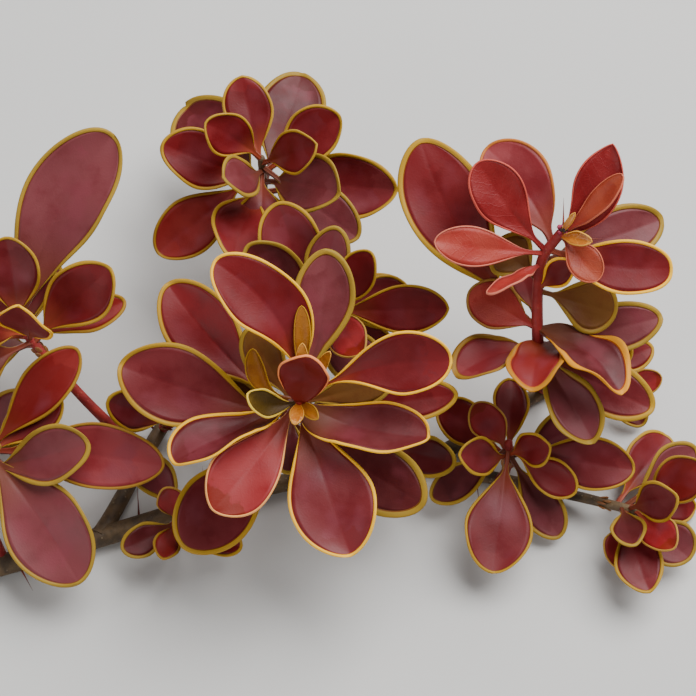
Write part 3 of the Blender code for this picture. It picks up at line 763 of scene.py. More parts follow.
def flat_outlines(shape, side, count):
    """One side's outline of the leaf and the edge of its blade inside the rim, flat, in millimetres."""
    u = 1 - (1 - np.linspace(0, 1, OUTLINE_POINTS)) ** OUTLINE_CROWDING
    outer = np.stack([half_width(u, shape, side), u * shape["length"]], -1)
    outer[-1, 0] = 0
    step = np.gradient(outer, axis=0)
    inward = unit(np.stack([-step[:, 1], step[:, 0]], -1))
    rim = THINNEST_RIM + (shape["rim"] - THINNEST_RIM) * ease(u, *RIM_WIDENS)
    rim = np.where(u < NECK_ENDS, np.minimum(rim, RIM_SHARE_OF_NECK * outer[:, 0]), rim)
    inner = outer + rim[:, None] * inward
    past = np.nonzero(inner[:, 0] <= 0)[0]
    if len(past):
        inner = inner[:past[0] + 1]
        inner[-1, 0] = 0
    mirrored = np.array([side, 1.0])
    return evenly(outer, count) * mirrored, evenly(inner, count) * mirrored


def lay_on(shape, flat, height):
    """Places in space of flat leaf points at a height over the blade's middle layer."""
    u = np.clip(flat[..., 1] / shape["length"], 0, 1)
    v = np.clip(flat[..., 0] / np.maximum(half_width(u, shape, flat[..., 0]), LEAST_WIDTH), -1, 1)
    places, normals = leaf_surface(shape, u, v)
    phases = shape["phases"]
    waves = sum(np.sin(along * u + across * v + phase)
                for (along, across), phase in zip(PUCKER_WAVES, phases))
    ripple = np.sin(RIPPLE_WAVES * u + RIPPLE_SHIFT * np.sign(v) + phases[2])
    flutter = EDGE_RIPPLE * shape["width"] * np.abs(v) ** 3 * ripple
    crease = shape["fold"] * shape["width"] * (1 - np.abs(v)) ** 2 * (1 - u ** 4)
    lift = height + (PUCKER * shape["width"] * waves + flutter - crease) * ease(u, *RELIEF_BEGINS)
    return places + lift[..., None] * normals


def shown(thing):
    """The object, put into the scene."""
    bpy.context.collection.objects.link(thing)
    return thing


class Skin:
    """Gathers closed sleeves of points into one mesh, with their materials and attributes."""

    def __init__(self):
        self.points = []
        self.faces = []
        self.coats = []
        self.values = {"along": [], "inward": [], "tint": [], "flat": []}
        self.count = 0

    def sleeve(self, places, coats, along, inward, tint, flat):
        """Add rings of points joined into a sleeve with closed ends; coats has one slot per ring side."""
        rings, sides = places.shape[:2]
        base = self.count
        self.points += [places.reshape(-1, 3), np.stack([places[0].mean(0), places[-1].mean(0)])]
        start = base + np.arange(rings - 1)[:, None] * sides
        a = start + np.arange(sides)[None]
        b = start + (np.arange(sides)[None] + 1) % sides
        self.faces += np.stack([a, b, b + sides, a + sides], -1).reshape(-1, 4).tolist()
        self.coats += list(coats) * (rings - 1)
        foot, top = base + rings * sides, base + rings * sides + 1
        last = base + (rings - 1) * sides
        for k in range(sides):
            m = (k + 1) % sides
            self.faces += [(foot, base + m, base + k), (top, last + k, last + m)]
            self.coats += [coats[k], coats[k]]
        for key, value in (("along", along), ("inward", inward), ("flat", flat)):
            value = np.broadcast_to(value, (rings, sides) + np.shape(value)[2:])
            self.values[key].append(value.reshape((rings * sides,) + value.shape[2:]))
            self.values[key].append(np.stack([value[0].mean(0), value[-1].mean(0)]))
        self.values["tint"].append(np.full(rings * sides + 2, tint))
        self.count += rings * sides + 2

    def piece(self, name, materials):
        mesh = bpy.data.meshes.new(name)
        points = (np.concatenate(self.points) - UNDERSIDE_MIDDLE) * MM
        mesh.from_pydata(points.tolist(), [], self.faces)
        for coat in materials:
            mesh.materials.append(coat)
        mesh.polygons.foreach_set("material_index", self.coats)
        mesh.polygons.foreach_set("use_smooth", [True] * len(mesh.polygons))
        for key in ("along", "inward", "tint"):
            held = mesh.attributes.new(key, "FLOAT", "POINT")
            held.data.foreach_set("value", np.concatenate(self.values[key]).astype(np.float32))
        corners = np.zeros(len(mesh.loops), np.int32)
        mesh.loops.foreach_get("vertex_index", corners)
        spread = mesh.uv_layers.new(name="Blade")
        spread.data.foreach_set("uv", np.concatenate(self.values["flat"])[corners].astype(np.float32).ravel())
        mesh.update()
        return shown(bpy.data.objects.new(name, mesh))


def add_blade(skin, shape, right, left, columns, slots):
    """The blade inside its rim: a thin closed sleeve, grooved over its midrib and ridged under it."""
    across = np.linspace(-1, 1, columns + 1)
    across = np.sign(across) * np.abs(across) ** EDGE_CROWDING
    loop = np.concatenate([across, [1.0], across[::-1], [-1.0]])
    over = np.concatenate([np.ones(columns + 1), [0], -np.ones(columns + 1), [0]])
    midrib = (right + left) / 2 * np.array([0.0, 1.0])
    edge = np.where(loop[None, :, None] > 0, right[:, None], left[:, None])
    flat = midrib[:, None] + (edge - midrib[:, None]) * np.abs(loop)[None, :, None]
    flat[-1, :, 0] = BLUNT_END * loop
    u = flat[..., 1] / shape["length"]
    near_midrib = np.exp(-(flat[..., 0] / MIDRIB_WIDTH) ** 2) * np.sqrt(np.clip(MIDRIB_END - u, 0, 1))
    body = HALF_BLADE * shape["thick"] + STALK_EXTRA * np.clip(1 - STALK_THINS * u, 0, 1)
    top = body - MIDRIB_GROOVE * near_midrib * ease(u, *GROOVE_BEGINS)
    under = body + MIDRIB_RIDGE * near_midrib * ease(u, *RIDGE_BEGINS)
    height = np.where(over > 0, top, np.where(over < 0, -under, 0.0))
    coats = [slots[0]] * (columns + 2) + [slots[1]] * (columns + 1) + [slots[0]]
    skin.sleeve(lay_on(shape, flat, height), coats, u, np.abs(loop)[None], shape["tint"], flat)


def rim_half(shape, outlines):
    """One side's outer and inner edges from where the rim is wide enough to show."""
    outer, inner = outlines
    width = np.linalg.norm(outer - inner, axis=1)
    first = int(np.argmax(width > RIM_SHOWS * shape["rim"]))
    return outer[first:], inner[first:]


def add_rim(skin, shape, right, left, slots):
    """The rim: a bead from the neck round the tip and back, with a warm line where it meets the blade."""
    outside, inside = (np.concatenate([one, other[-2::-1]])
                       for one, other in zip(rim_half(shape, right), rim_half(shape, left)))
    fullness = np.clip(np.linalg.norm(outside - inside, axis=1) / shape["rim"], 0, 1)
    share, bead = np.array(RIM_SECTION).T
    bead = bead * shape["thick"]
    flat = inside[:, None] + share[None, :, None] * (outside - inside)[:, None]
    height = bead[None] * (LOWEST_BEAD + (1 - LOWEST_BEAD) * fullness)[:, None]
    coats = [slots[1 if at < LINE_SHARE and after > 0 else 0] for at, after in zip(share, bead[1:])]
    coats = coats[::-1] + [slots[0]]
    flat = flat[:, ::-1]
    places = lay_on(shape, flat, height[:, ::-1])
    skin.sleeve(places, coats, flat[..., 1] / shape["length"], share[None, ::-1], shape["tint"], flat)


def measure(shape, chance):
    """What a leaf's fine mesh needs: its run, rim, thickness, crease, ripples and tint."""
    midrib = leaf_frame(shape, np.linspace(0, 1, MIDRIB_POINTS))[0]
    shape["length"] = float(np.linalg.norm(np.diff(midrib, axis=0), axis=1).sum())
    # Leaves set well behind the focus get rims that are aged and darkened with painted shade
    shape["dull"] = bool((shape["tip"] - FOCUS) @ TOWARD < AGED_SHADED_BEHIND)
    gain = min(1 + RIM_GAIN_BY_NODE * shape["node"], WIDEST_GAIN)
    shape["rim"] = min(TONES[shape["tone"]][-1] * gain, WIDEST_RIM * shape["width"])
    shape["thick"] = min(1.0, THINNEST_LEAF + THICKER_BY_WIDTH * shape["width"])
    if shape["samples"][:, 2].min() < FOLD_CLEARANCE:
        shape["fold"] = 0.0
    shape["phases"] = [chance.uniform(0, 2 * math.pi) for _ in range(3)]
    shape["tint"] = chance.random()


def dress(name, shapes, coats):
    """Blades and rims of one crown as two pieces."""
    chance = random.Random(name + " blades")
    for shape in shapes:
        measure(shape, chance)
    blades, rims = Skin(), Skin()
    tones = sorted({shape["tone"] for shape in shapes})
    rim_tones = sorted({(shape["tone"], shape["dull"]) for shape in shapes})
    for shape in shapes:
        rows = int(np.clip(round(shape["length"] * ROWS_PER_MM), *ROW_LIMITS))
        columns = 2 * int(np.clip(round(shape["width"] * COLUMNS_PER_MM / 2), *HALF_COLUMN_LIMITS))
        right, left = (flat_outlines(shape, side, rows) for side in (1, -1))
        add_blade(blades, shape, right[1], left[1], columns, (tones.index(shape["tone"]), len(tones)))
        slot = 2 * rim_tones.index((shape["tone"], shape["dull"]))
        add_rim(rims, shape, right, left, (slot, slot + 1))
    stem = name.rsplit("_", 1)[0]
    blade_coats = [coats[tone]["blade"] for tone in tones] + [coats["underside"]]
    # Low leaves take the aged rim coats with painted shade
    rim_coats = [coats[tone][("dull_" if dull else "") + part]
                 for tone, dull in rim_tones for part in ("rim", "line")]
    for thing in (blades.piece(stem + "_blades", blade_coats), rims.piece(stem + "_rims", rim_coats)):
        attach(thing, "root")
        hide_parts(stem + "_leaves")


def feed(tree, term, socket):
    """Give a socket a plain value, or link another socket to it."""
    if isinstance(term, tuple):
        socket.default_value = term + (1.0,) * (4 - len(term))
    elif isinstance(term, (int, float, str)):
        socket.default_value = term
    else:
        tree.links.new(term, socket)


def give(tree, node, **terms):
    """Feed a node's named inputs."""
    for key, term in terms.items():
        feed(tree, term, node.inputs[key.replace("_", " ")])
    return node


def add_node(tree, kind, settings=(), **terms):
    """A node with its settings and its fed inputs."""
    made = tree.nodes.new(kind)
    for key, value in dict(settings).items():
        setattr(made, key, value)
    return give(tree, made, **terms)


def formula(tree, operation, *terms):
    """A math node on numbers and sockets."""
    made = add_node(tree, "ShaderNodeMath", {"operation": operation})
    for socket, term in zip(made.inputs, terms):
        feed(tree, term, socket)
    return made.outputs[0]


def times(tree, first, second):
    return formula(tree, "MULTIPLY", first, second)


def plus(tree, first, second):
    return formula(tree, "ADD", first, second)


def minus(tree, first, second):
    return formula(tree, "SUBTRACT", first, second)


def blended(tree, share, first, second):
    """A colour between two, each a plain colour or a socket."""
    made = add_node(tree, "ShaderNodeMix", {"data_type": "RGBA"})
    for k, term in zip(COLOUR_MIX_INPUTS, (share, first, second)):
        feed(tree, term, made.inputs[k])
    return made.outputs[COLOUR_MIX_OUTPUT]


def ramp(tree, value, low, high, out_low=0.0, out_high=1.0):
    """A soft step of a value from one range to another."""
    made = add_node(tree, "ShaderNodeMapRange", {"interpolation_type": "SMOOTHSTEP"}, Value=value,
                    From_Min=low, From_Max=high, To_Min=out_low, To_Max=out_high)
    return made.outputs["Result"]


def noise(tree, place, scale, detail=3.0, roughness=0.55):
    made = add_node(tree, "ShaderNodeTexNoise", Vector=place, Scale=scale, Detail=detail, Roughness=roughness)
    return made.outputs["Fac"]


def attribute(tree, name):
    return add_node(tree, "ShaderNodeAttribute", {"attribute_name": name}).outputs["Fac"]


def start_coat(name, roughness, sheen=0.0, specular=0.5):
    """A material with its plain values set, its tree, shader and place on the object."""
    made = bpy.data.materials.new(name)
    made.use_nodes = True
    tree = made.node_tree
    shader = give(tree, tree.nodes["Principled BSDF"], Roughness=roughness, Specular_IOR_Level=specular,
                  Sheen_Weight=sheen, Sheen_Roughness=SHEEN_ROUGHNESS, Sheen_Tint=SHEEN_TINT)
    return made, tree, shader, tree.nodes.new("ShaderNodeTexCoord").outputs["Object"]


def bump(tree, shader, height, strength, distance):
    made = add_node(tree, "ShaderNodeBump", Height=height, Strength=strength, Distance=distance)
    give(tree, shader, Normal=made.outputs["Normal"])


def vein_height(tree):
    """Side veins that leave the midrib at a slant, and a fine net between them, in the blade's own plane."""
    spread = add_node(tree, "ShaderNodeUVMap", {"uv_map": "Blade"}).outputs["UV"]
    parts = add_node(tree, "ShaderNodeSeparateXYZ", Vector=spread).outputs
    aside = times(tree, formula(tree, "ABSOLUTE", parts["X"]), VEIN_SLANT)
    wander = times(tree, noise(tree, spread, VEIN_WANDER), VEIN_WANDER_REACH)
    phase = formula(tree, "PINGPONG", plus(tree, minus(tree, parts["Y"], aside), wander), VEIN_GAP)
    side_veins = ramp(tree, phase, 0.0, VEIN_WIDTH, 1.0, 0.0)
    net = add_node(tree, "ShaderNodeTexVoronoi", {"feature": "DISTANCE_TO_EDGE"}, Vector=spread,
                   Scale=NET_CELLS)
    fine = ramp(tree, net.outputs["Distance"], 0.0, NET_WIDTH, 1.0, 0.0)
    return plus(tree, times(tree, side_veins, VEIN_SHARE), times(tree, fine, NET_SHARE))


def blade_coat(name, blade, second, neck, veins, painted_sheen, gloss, tip):
    """Satin upper side: two shades of the tone, a browner neck, patches of painted mauve sheen and faint
    veins.
    """
    made, tree, shader, place = start_coat(name, BLADE_PLAIN, sheen=BLADE_SHEEN,
                                           specular=BLADE_SPECULAR + gloss)
    along = attribute(tree, "along")
    mottle = noise(tree, place, BLADE_MOTTLE, detail=4.0)
    shade = plus(tree, mottle, times(tree, attribute(tree, "tint"), TINT_SHARE))
    body = blended(tree, ramp(tree, shade, *SECOND_SHADE), blade, second)
    vein = vein_height(tree)
    body = blended(tree, times(tree, vein, veins), body, second)
    # Painted sheen: mauve patches mixed into the colour away from the blade's edge
    inside = ramp(tree, attribute(tree, "inward"), *PAINTED_SHEEN_INSIDE, 1.0, 0.0)
    patches = ramp(tree, noise(tree, place, PAINTED_SHEEN_PATCHES, detail=2.0), *PAINTED_SHEEN_EDGE, 0.0, painted_sheen)
    body = blended(tree, times(tree, patches, inside), body, PAINTED_SHEEN)
    edge = plus(tree, along, times(tree, noise(tree, place, TIP_EDGE), TIP_RAGGED))
    body = blended(tree, ramp(tree, edge, *TIP_SHADE), body, tip)
    smoothest, roughest = BLADE_ROUGHNESS
    give(tree, shader, Base_Color=blended(tree, ramp(tree, along, *NECK_SHADE), neck, body),
         Roughness=ramp(tree, mottle, *MOST_OF_NOISE, smoothest - gloss, roughest - gloss))
    grain = times(tree, noise(tree, place, BLADE_GRAIN, detail=2.0), GRAIN_SHARE)
    bump(tree, shader, plus(tree, times(tree, vein, VEINS_SUNK * veins), grain), *BLADE_BUMP)
    return made


def rim_coat(name, colour):
    """Smooth waxy edge in one plain colour, with a fine grain in its gloss and surface."""
    made, tree, shader, place = start_coat(name, RIM_PLAIN, specular=RIM_SPECULAR)
    grain = noise(tree, place, RIM_GRAIN)
    give(tree, shader, Base_Color=colour, Roughness=ramp(tree, grain, *NEARLY_ALL_NOISE, *RIM_ROUGHNESS))
    bump(tree, shader, grain, *RIM_BUMP)
    return made


def underside_coat():
    """Dull underside: red-brown with an olive cast and a soft waxy sheen."""
    made, tree, shader, place = start_coat("leaf_underside", UNDERSIDE_ROUGHNESS, sheen=UNDERSIDE_SHEEN)
    shade = ramp(tree, noise(tree, place, UNDERSIDE_MOTTLE), *UNDERSIDE_SHADE)
    give(tree, shader, Base_Color=blended(tree, shade, *UNDERSIDE))
    bump(tree, shader, vein_height(tree), *UNDERSIDE_BUMP)
    return made


def bark_coat(name, dark, light, fleck, sheen=0.0):
    """Ridged bark: two shades drawn out by noise, with pale pores."""
    made, tree, shader, place = start_coat(name, BARK_PLAIN, sheen=sheen)
    fine = noise(tree, place, BARK_GRAIN, detail=4.0)
    mottle = noise(tree, place, BARK_MOTTLE, detail=5.0)
    body = blended(tree, ramp(tree, mottle, *BARK_SHADE), dark, light)
    pores = add_node(tree, "ShaderNodeTexVoronoi", Vector=place, Scale=PORES)
    spots = ramp(tree, pores.outputs["Distance"], *PORE_EDGE, 1.0, 0.0)
    give(tree, shader, Base_Color=blended(tree, times(tree, spots, PORE_SHARE), body, fleck),
         Roughness=ramp(tree, fine, *NEARLY_ALL_NOISE, *BARK_ROUGHNESS))
    bump(tree, shader, plus(tree, fine, times(tree, spots, PORE_HEIGHT)), *BARK_BUMP)
    return made


def cut_coat():
    """Fresh cut wood: brown pith, yellow wood with faint year rings, a thin green ring and a bark edge."""
    made, tree, shader, place = start_coat("cut_wood", CUT_ROUGHNESS)
    out = attribute(tree, "along")
    rings = formula(tree, "SINE", times(tree, out, RING_TURN))
    wood = blended(tree, ramp(tree, rings, *RING_SHADE), WOOD, RING)
    wood = blended(tree, ramp(tree, out, *PITH_EDGE), PITH, wood)
    wood = blended(tree, ramp(tree, out, *GREEN_EDGE), wood, GREEN_RING)
    give(tree, shader, Base_Color=blended(tree, ramp(tree, out, *BARK_BEGINS), wood, BARK_EDGE))
    bump(tree, shader, noise(tree, place, SAW_GRAIN), *SAW_BUMP)
    return made


def aged_shaded_colour(colour, dull):
    """A rim's colour on a low leaf: mostly a khaki one, partly for its age and partly as painted shade, with
    a little of its own.
    """
    return tuple(OWN_SHARE * own + (1 - OWN_SHARE) * khaki for own, khaki in zip(colour, dull))


def make_coats():
    coats = {}
    for tone, (blade, second, neck, rim, line, _) in TONES.items():
        veins = YOUNG_VEINS if tone in YOUNG_TONES else GROWN_VEINS
        # Each tone: its blade with patches of painted mauve sheen, its rim and line, and rim and line for low
        # leaves
        coats[tone] = {"blade": blade_coat(tone + "_blade", blade, second, neck, veins,
                                           PAINTED_SHEEN_SHARES.get(tone, PAINTED_SHEEN_SHARE), GLOSS.get(tone, 0.0),
                                           ROSE_TIP if tone == "rose" else second),
                       "rim": rim_coat(tone + "_rim", rim), "line": rim_coat(tone + "_line", line),
                       # Rims of low leaves: their aged khaki with painted shade
                       "dull_rim": rim_coat(tone + "_dull_rim", aged_shaded_colour(rim, AGED_SHADED_RIM)),
                       "dull_line": rim_coat(tone + "_dull_line", aged_shaded_colour(line, AGED_SHADED_LINE))}
    coats["underside"] = underside_coat()
    for name, shades in BARKS.items():
        coats[name] = bark_coat(name, *shades)
    coats["cut"] = cut_coat()
    return coats


def new_tree(name, inputs):
    """A geometry node tree with named inputs, its input sockets and its output node."""
    tree = bpy.data.node_groups.new(name, "GeometryNodeTree")
    for label, kind in (("Geometry", "Geometry"), *inputs):
        tree.interface.new_socket(name=label, in_out="INPUT", socket_type="NodeSocket" + kind)
    tree.interface.new_socket(name="Geometry", in_out="OUTPUT", socket_type="NodeSocketGeometry")
    return tree, tree.nodes.new("NodeGroupInput").outputs, tree.nodes.new("NodeGroupOutput")


def end_tree(tree, made, geometry, coat):
    """Realize what the tree has grown, give it its material and hand it out."""
    whole = add_node(tree, "GeometryNodeRealizeInstances", Geometry=geometry).outputs["Geometry"]
    painted = add_node(tree, "GeometryNodeSetMaterial", Geometry=whole, Material=coat)
    give(tree, made, Geometry=painted.outputs["Geometry"])


def stored(tree, name, geometry, value):
    """The geometry with a value kept on its points under a name."""
    return add_node(tree, "GeometryNodeStoreNamedAttribute", Geometry=geometry, Value=value,
                    Name=name).outputs["Geometry"]


def kept_value(tree, name, kind="FLOAT"):
    held = add_node(tree, "GeometryNodeInputNamedAttribute", {"data_type": kind}, Name=name)
    return held.outputs["Attribute"]


def bark_tree():
    """Skins a limb's line: a tapering tube with a flared foot, a rounded tip and ridges along it."""
    tree, given, made = new_tree("bark skin", (("Foot Radius", "Float"), ("Tip Radius", "Float"),
                                               ("Flare", "Float"), ("Ridge Depth", "Float"),
                                               ("Ridges", "Float"), ("Sides", "Int"), ("Step", "Float"),
                                               ("Seed", "Float"), ("Bark", "Material")))
    spaced = add_node(tree, "GeometryNodeResampleCurve", {"mode": "LENGTH"}, Curve=given["Geometry"],
                      Length=given["Step"])
    spline = tree.nodes.new("GeometryNodeSplineParameter").outputs
    whole = tree.nodes.new("GeometryNodeSplineLength").outputs["Length"]
    course = stored(tree, "run", spaced.outputs["Curve"], spline["Length"])
    taper = add_node(tree, "ShaderNodeMapRange", Value=spline["Factor"], To_Min=given["Foot Radius"],
                     To_Max=given["Tip Radius"]).outputs["Result"]
    to_tip = formula(tree, "DIVIDE", minus(tree, whole, spline["Length"]), given["Tip Radius"])
    hollow = minus(tree, 1.0, formula(tree, "MINIMUM", to_tip, 1.0))
    round_end = formula(tree, "SQRT", minus(tree, ROUND_END, times(tree, hollow, hollow)))
    from_foot = formula(tree, "DIVIDE", spline["Length"], given["Foot Radius"])
    flare = times(tree, given["Flare"], formula(tree, "EXPONENT", times(tree, from_foot, -1.0)))
    radius = times(tree, times(tree, taper, round_end), plus(tree, 1.0, flare))
    circle = add_node(tree, "GeometryNodeCurvePrimitiveCircle", Radius=1.0, Resolution=given["Sides"])
    section = stored(tree, "turn", circle.outputs["Curve"], spline["Factor"])
    tube = add_node(tree, "GeometryNodeCurveToMesh", Curve=course, Profile_Curve=section, Scale=radius,
                    Fill_Caps=True)
    angle = times(tree, kept_value(tree, "turn"), 2 * math.pi)
    drawn_out = plus(tree, times(tree, kept_value(tree, "run"), RIDGE_RUN), given["Seed"])
    across, aside = (times(tree, formula(tree, turn, angle), given["Ridges"]) for turn in ("COSINE", "SINE"))
    where = add_node(tree, "ShaderNodeCombineXYZ", X=across, Y=aside, Z=drawn_out)
    relief = noise(tree, where.outputs["Vector"], 1.0, detail=4.0, roughness=0.6)
    depth = times(tree, minus(tree, relief, RELIEF_TOP), given["Ridge Depth"])
    normal = tree.nodes.new("GeometryNodeInputNormal").outputs["Normal"]
    push = add_node(tree, "ShaderNodeVectorMath", {"operation": "SCALE"}, Vector=normal, Scale=depth)
    moved = add_node(tree, "GeometryNodeSetPosition", Geometry=tube.outputs["Mesh"],
                     Offset=push.outputs["Vector"])
    end_tree(tree, made, moved.outputs["Geometry"], given["Bark"])
    return tree


def growths_tree(name, body):
    """Sets a spine or a bud's grain on every point, turned along its lie and as big as its size."""
    tree, given, made = new_tree(name, (("Sides", "Int"), ("Coat", "Material")))
    place = tree.nodes.new("GeometryNodeInputPosition").outputs["Position"]
    parts = add_node(tree, "ShaderNodeSeparateXYZ", Vector=place).outputs
    if body == "spine":
        form = add_node(tree, "GeometryNodeMeshCone", Vertices=given["Sides"], Side_Segments=SPINE_ROWS,
                        Radius_Top=SPINE_TIP, Radius_Bottom=1.0, Depth=1.0)
        inward = minus(tree, 1.0, formula(tree, "ABSOLUTE", parts["Z"]))
        girth = plus(tree, SPINE_SHANK, times(tree, formula(tree, "POWER", inward, 3.0), SPINE_SWELL))
    else:
        form = add_node(tree, "GeometryNodeMeshUVSphere", Segments=given["Sides"], Rings=GRAIN_RINGS,
                        Radius=1.0)
        knobs = noise(tree, place, GRAIN_KNOBS, detail=2.0)
        girth = plus(tree, GRAIN_GIRTH, times(tree, knobs, GRAIN_SWELL))
    slimmed = add_node(tree, "ShaderNodeCombineXYZ", X=times(tree, parts["X"], girth),
                       Y=times(tree, parts["Y"], girth), Z=parts["Z"])
    shaped = add_node(tree, "GeometryNodeSetPosition", Geometry=form.outputs["Mesh"],
                      Position=slimmed.outputs["Vector"])
    turned = add_node(tree, "FunctionNodeAlignRotationToVector", {"axis": "Z"},
                      Vector=kept_value(tree, "lie", "FLOAT_VECTOR"))
    spread = add_node(tree, "GeometryNodeInstanceOnPoints", Points=given["Geometry"],
                      Instance=shaped.outputs["Geometry"], Rotation=turned.outputs["Rotation"],
                      Scale=kept_value(tree, "size", "FLOAT_VECTOR"))
    end_tree(tree, made, spread.outputs["Instances"], given["Coat"])
    return tree


def run_tree(name, thing, tree, values):
    """Evaluate a tree on an object and keep the result as a plain mesh of that name."""
    worked = thing.modifiers.new("growth", "NODES")
    worked.node_group = tree
    for item in tree.interface.items_tree:
        if item.item_type == "SOCKET" and item.in_out == "INPUT" and item.name in values:
            worked[item.identifier] = values[item.name]
    thing.update_tag()
    view = bpy.context.evaluated_depsgraph_get()
    mesh = bpy.data.meshes.new_from_object(thing.evaluated_get(view))
    thing.modifiers.remove(worked)
    bpy.data.objects.remove(thing)
    mesh.name = name
    for face in mesh.polygons:
        face.use_smooth = True
    return shown(bpy.data.objects.new(name, mesh))


def course_object(name, line):
    """A curve object with one straight-run spline through the given points."""
    curve = bpy.data.curves.new(name, "CURVE")
    curve.dimensions = "3D"
    spline = curve.splines.new("POLY")
    spline.points.add(len(line) - 1)
    places = (line - UNDERSIDE_MIDDLE) * MM
    spline.points.foreach_set("co", np.concatenate([places, np.ones((len(line), 1))], 1).ravel())
    return shown(bpy.data.objects.new(name + "_course", curve))


def points_object(name, rows):
    """A mesh of bare points, each with its lie and its size, from rows of place, direction and size."""
    mesh = bpy.data.meshes.new(name)
    mesh.from_pydata([((place - UNDERSIDE_MIDDLE) * MM).tolist() for place, lie, size in rows], [], [])
    for label, values in (("lie", [lie for place, lie, size in rows]),
                          ("size", [np.asarray(size) * MM for place, lie, size in rows])):
        held = mesh.attributes.new(label, "FLOAT_VECTOR", "POINT")
        held.data.foreach_set("vector", np.asarray(values, np.float32).ravel())
    return shown(bpy.data.objects.new(name + "_points", mesh))


def grow(name, rows, tree, sides, coat, node):
    """Instances of a growth on its rows of points, kept as one piece that stands for part of a node."""
    thing = run_tree(name, points_object(name, rows), tree, {"Sides": sides, "Coat": coat})
    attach(thing, "root")
    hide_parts(node)


def around(axis, turn):
    """A direction square to an axis, at a turn round it."""
    e1, e2 = square_to(axis)
    return math.cos(turn) * e1 + math.sin(turn) * e2


def spine_rows(name, limb, samples):
    """Single spines up the older wood, wherever one clears the floor, the leaves and the part's own box."""
    chance = random.Random(name + " spines")
    rows = []
    distance = limb["start"] + SPINES_FROM_FOOT
    while distance < limb["end"] - SPINES_FROM_TIP:
        place, axis = along_limb(limb, distance)
        first = chance.uniform(0, 2 * math.pi)
        for k in range(SPINE_TRIES):
            out = around(axis, first + k * 2 * math.pi / SPINE_TRIES)
            lie = unit(out + SPINE_LEAN * axis)
            length = chance.uniform(*SPINE_LENGTH)
            foot = place + SPINE_SEAT * bark_radius(limb, distance) * out
            line = foot + np.outer(np.linspace(*CHECKED_ON_SPINE) * length, lie)
            inside = (line - UNDERSIDE_MIDDLE) * MM
            boxed = (inside > np.array(cad_lowest)).all() and (inside < np.array(cad_highest)).all()
            if boxed and line[:, 2].min() > FLOOR_CLEARANCE and apart(line, samples).min() > SPINE_CLEARANCE:
                rows.append((foot, lie, (SPINE_RADIUS, SPINE_RADIUS, length)))
                break
        distance += SPINE_STEP * chance.uniform(*SPINE_STEP_SPREAD)
    return rows


def scale_rows(limb):
    """Overlapping scales round the foot of a crown."""
    rows = []
    for k in range(SCALES):
        place, axis = along_limb(limb, limb["end"] + SCALE_RING_GAP * (k // SCALES_IN_A_RING))
        out = around(axis, math.radians(GOLDEN_TURN) * k)
        foot = place + SCALE_SEAT * bark_radius(limb, limb["end"]) * out
        rows.append((foot, unit(axis + SCALE_SPREAD * out), SCALE_SIZE))
    return rows


def clump_rows(tip, grains):
    """Round grains in a clump, each so far right of, above and in front of a place, and so big."""
    return [(tip + RIGHT * right + UP * up + TOWARD * toward, TOWARD, (size, size, size))
            for right, up, toward, size in grains]


def bristle_rows(tip):
    """Fine bristles beside the bud."""
    rows = []
    for (right, up, toward), lie, radius, length in BRISTLES:
        direction = unit(RIGHT * lie[0] + UP * lie[1] + TOWARD * lie[2])
        rows.append((tip + RIGHT * right + UP * up + TOWARD * toward, direction, (radius, radius, length)))
    return rows


def grow_spines(limbs, kept, coats):
    samples = np.concatenate([shape["samples"] for shapes in kept.values() for shape in shapes])
    tree = growths_tree("spines", "spine")
    for name in OLD_WOOD:
        rows = spine_rows(name, limbs[name], samples)
        grow(name + "_spines", rows, tree, SPINE_SIDES, coats["spine"], name)


def grow_buds(limbs, coats):
    """The scales at the crowns' feet, and the knobbly bud and fine bristles at the tall shoot's tip."""
    grain = growths_tree("grains", "grain")
    spine = growths_tree("bristles", "spine")
    for name in GROWN:
        mass = name.rsplit("_", 1)[0]
        rows = scale_rows(limbs[name])
        grow(mass + "_scales", rows, grain, SCALE_SIDES, coats["scale"], mass + "_leaves")
    tip = limbs["tall_shoot"]["line"][-1]
    foot = clump_rows(tip, BUD_FOOT)
    grow("tall_bud", clump_rows(tip, BUD), grain, GRAIN_SIDES, coats["bud"], "tall_leaves")
    grow("tall_bud_foot", foot, grain, GRAIN_SIDES, coats["bud_foot"], "tall_leaves")
    grow("tall_bristles", bristle_rows(tip), spine, SPINE_SIDES, coats["spine"], "tall_leaves")


def cut_end(limb, coats):
    """The sawn face of the stem: rings of points a little sunk, with their distance from its middle."""
    place, axis = along_limb(limb, 0.0)
    turns = np.linspace(0, 2 * math.pi, CUT_SIDES, endpoint=False)
    rings = [(at, SAW_SINK + SAW_WAVE * math.sin(SAW_WAVES * at)) for at in CUT_RINGS]
    share, sink = np.array(rings + list(BACK_RINGS)).T
    reach = share[:, None, None] * (CUT_SHARE * bark_radius(limb, 0.0))
    flat = reach * np.stack([np.cos(turns), np.sin(turns)], -1)[None]
    e1, e2 = square_to(axis)
    places = place + flat[..., :1] * e1 + flat[..., 1:] * e2 - sink[:, None, None] * axis
    face = Skin()
    face.sleeve(places, [0] * len(turns), share[:, None], share[:, None], 0.5, flat)
    thing = face.piece("main_stem_cut", [coats["cut"]])
    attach(thing, "root")
    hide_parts("main_stem")


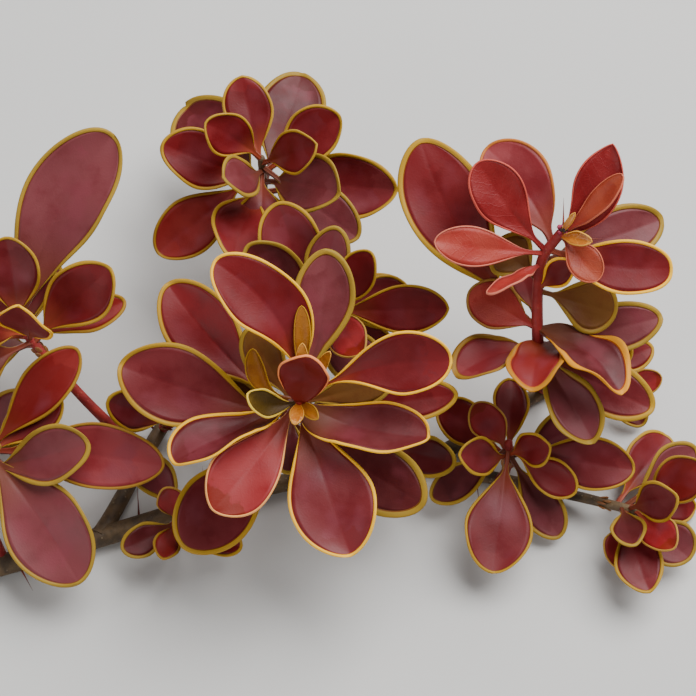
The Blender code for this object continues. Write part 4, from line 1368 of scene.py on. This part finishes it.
def bark_limbs(limbs, coats):
    tree = bark_tree()
    for number, (name, limb) in enumerate(limbs.items()):
        foot, tip = limb["radii"]
        old = name in OLD_WOOD
        values = {"Foot Radius": foot * MM, "Tip Radius": tip * MM, "Flare": FLARE if limb["parent"] else 0.0,
                  "Ridge Depth": (OLD_RIDGES if old else YOUNG_RIDGES) * MM, "Ridges": RIDGES_ROUND,
                  "Sides": OLD_SIDES if old else YOUNG_SIDES, "Step": BARK_STEP * MM,
                  "Seed": SEED_STEP * number, "Bark": coats["old_bark" if old else "young_bark"]}
        thing = run_tree(name + "_bark", course_object(name, limb["line"]), tree, values)
        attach(thing, "root")
        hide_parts(name if limb["end"] > limb["start"] else name.rsplit("_", 1)[0] + "_leaves")


def lay_floor():
    mesh = bpy.data.meshes.new("floor")
    corners = [(x * FLOOR_REACH, y * FLOOR_REACH, 0) for x, y in ((-1, -1), (1, -1), (1, 1), (-1, 1))]
    mesh.from_pydata(corners, [], [(0, 1, 2, 3)])
    made, tree, shader, _ = start_coat("pale_floor", FLOOR_ROUGHNESS)
    give(tree, shader, Base_Color=FLOOR_COLOUR)
    mesh.materials.append(made)
    shown(bpy.data.objects.new("floor", mesh))


def soft_light():
    world = bpy.data.worlds.new("studio")
    bpy.context.scene.world = world
    world.use_nodes = True
    give(world.node_tree, world.node_tree.nodes["Background"], Color=SKY, Strength=SKY_STRENGTH)
    for name, (place, size, power) in LAMPS.items():
        lamp = bpy.data.lights.new(name, "AREA")
        lamp.size = size
        lamp.energy = power
        thing = shown(bpy.data.objects.new(name, lamp))
        thing.location = place
        x, y, z = place
        thing.rotation_euler = (math.atan2(math.hypot(x, y), z), 0, math.atan2(-y, -x) - math.pi / 2)


def set_camera():
    lens = bpy.data.cameras.new("camera")
    lens.lens = LENS
    lens.clip_start = NEAR_CLIP
    camera = shown(bpy.data.objects.new("camera", lens))
    camera.location = (spot(0, 0, SIGHT_DISTANCE) - UNDERSIDE_MIDDLE) * MM
    camera.rotation_euler = (math.pi / 2 - SIGHT_TILT, 0, 0)
    bpy.context.scene.camera = camera


limbs = lay_limbs()
kept = grow_leaves(limbs)
coats = make_coats()
for crown, shapes in kept.items():
    dress(crown, shapes, coats)
bark_limbs(limbs, coats)
grow_spines(limbs, kept, coats)
grow_buds(limbs, coats)
cut_end(limbs["main_stem"], coats)
lay_floor()
soft_light()
set_camera()
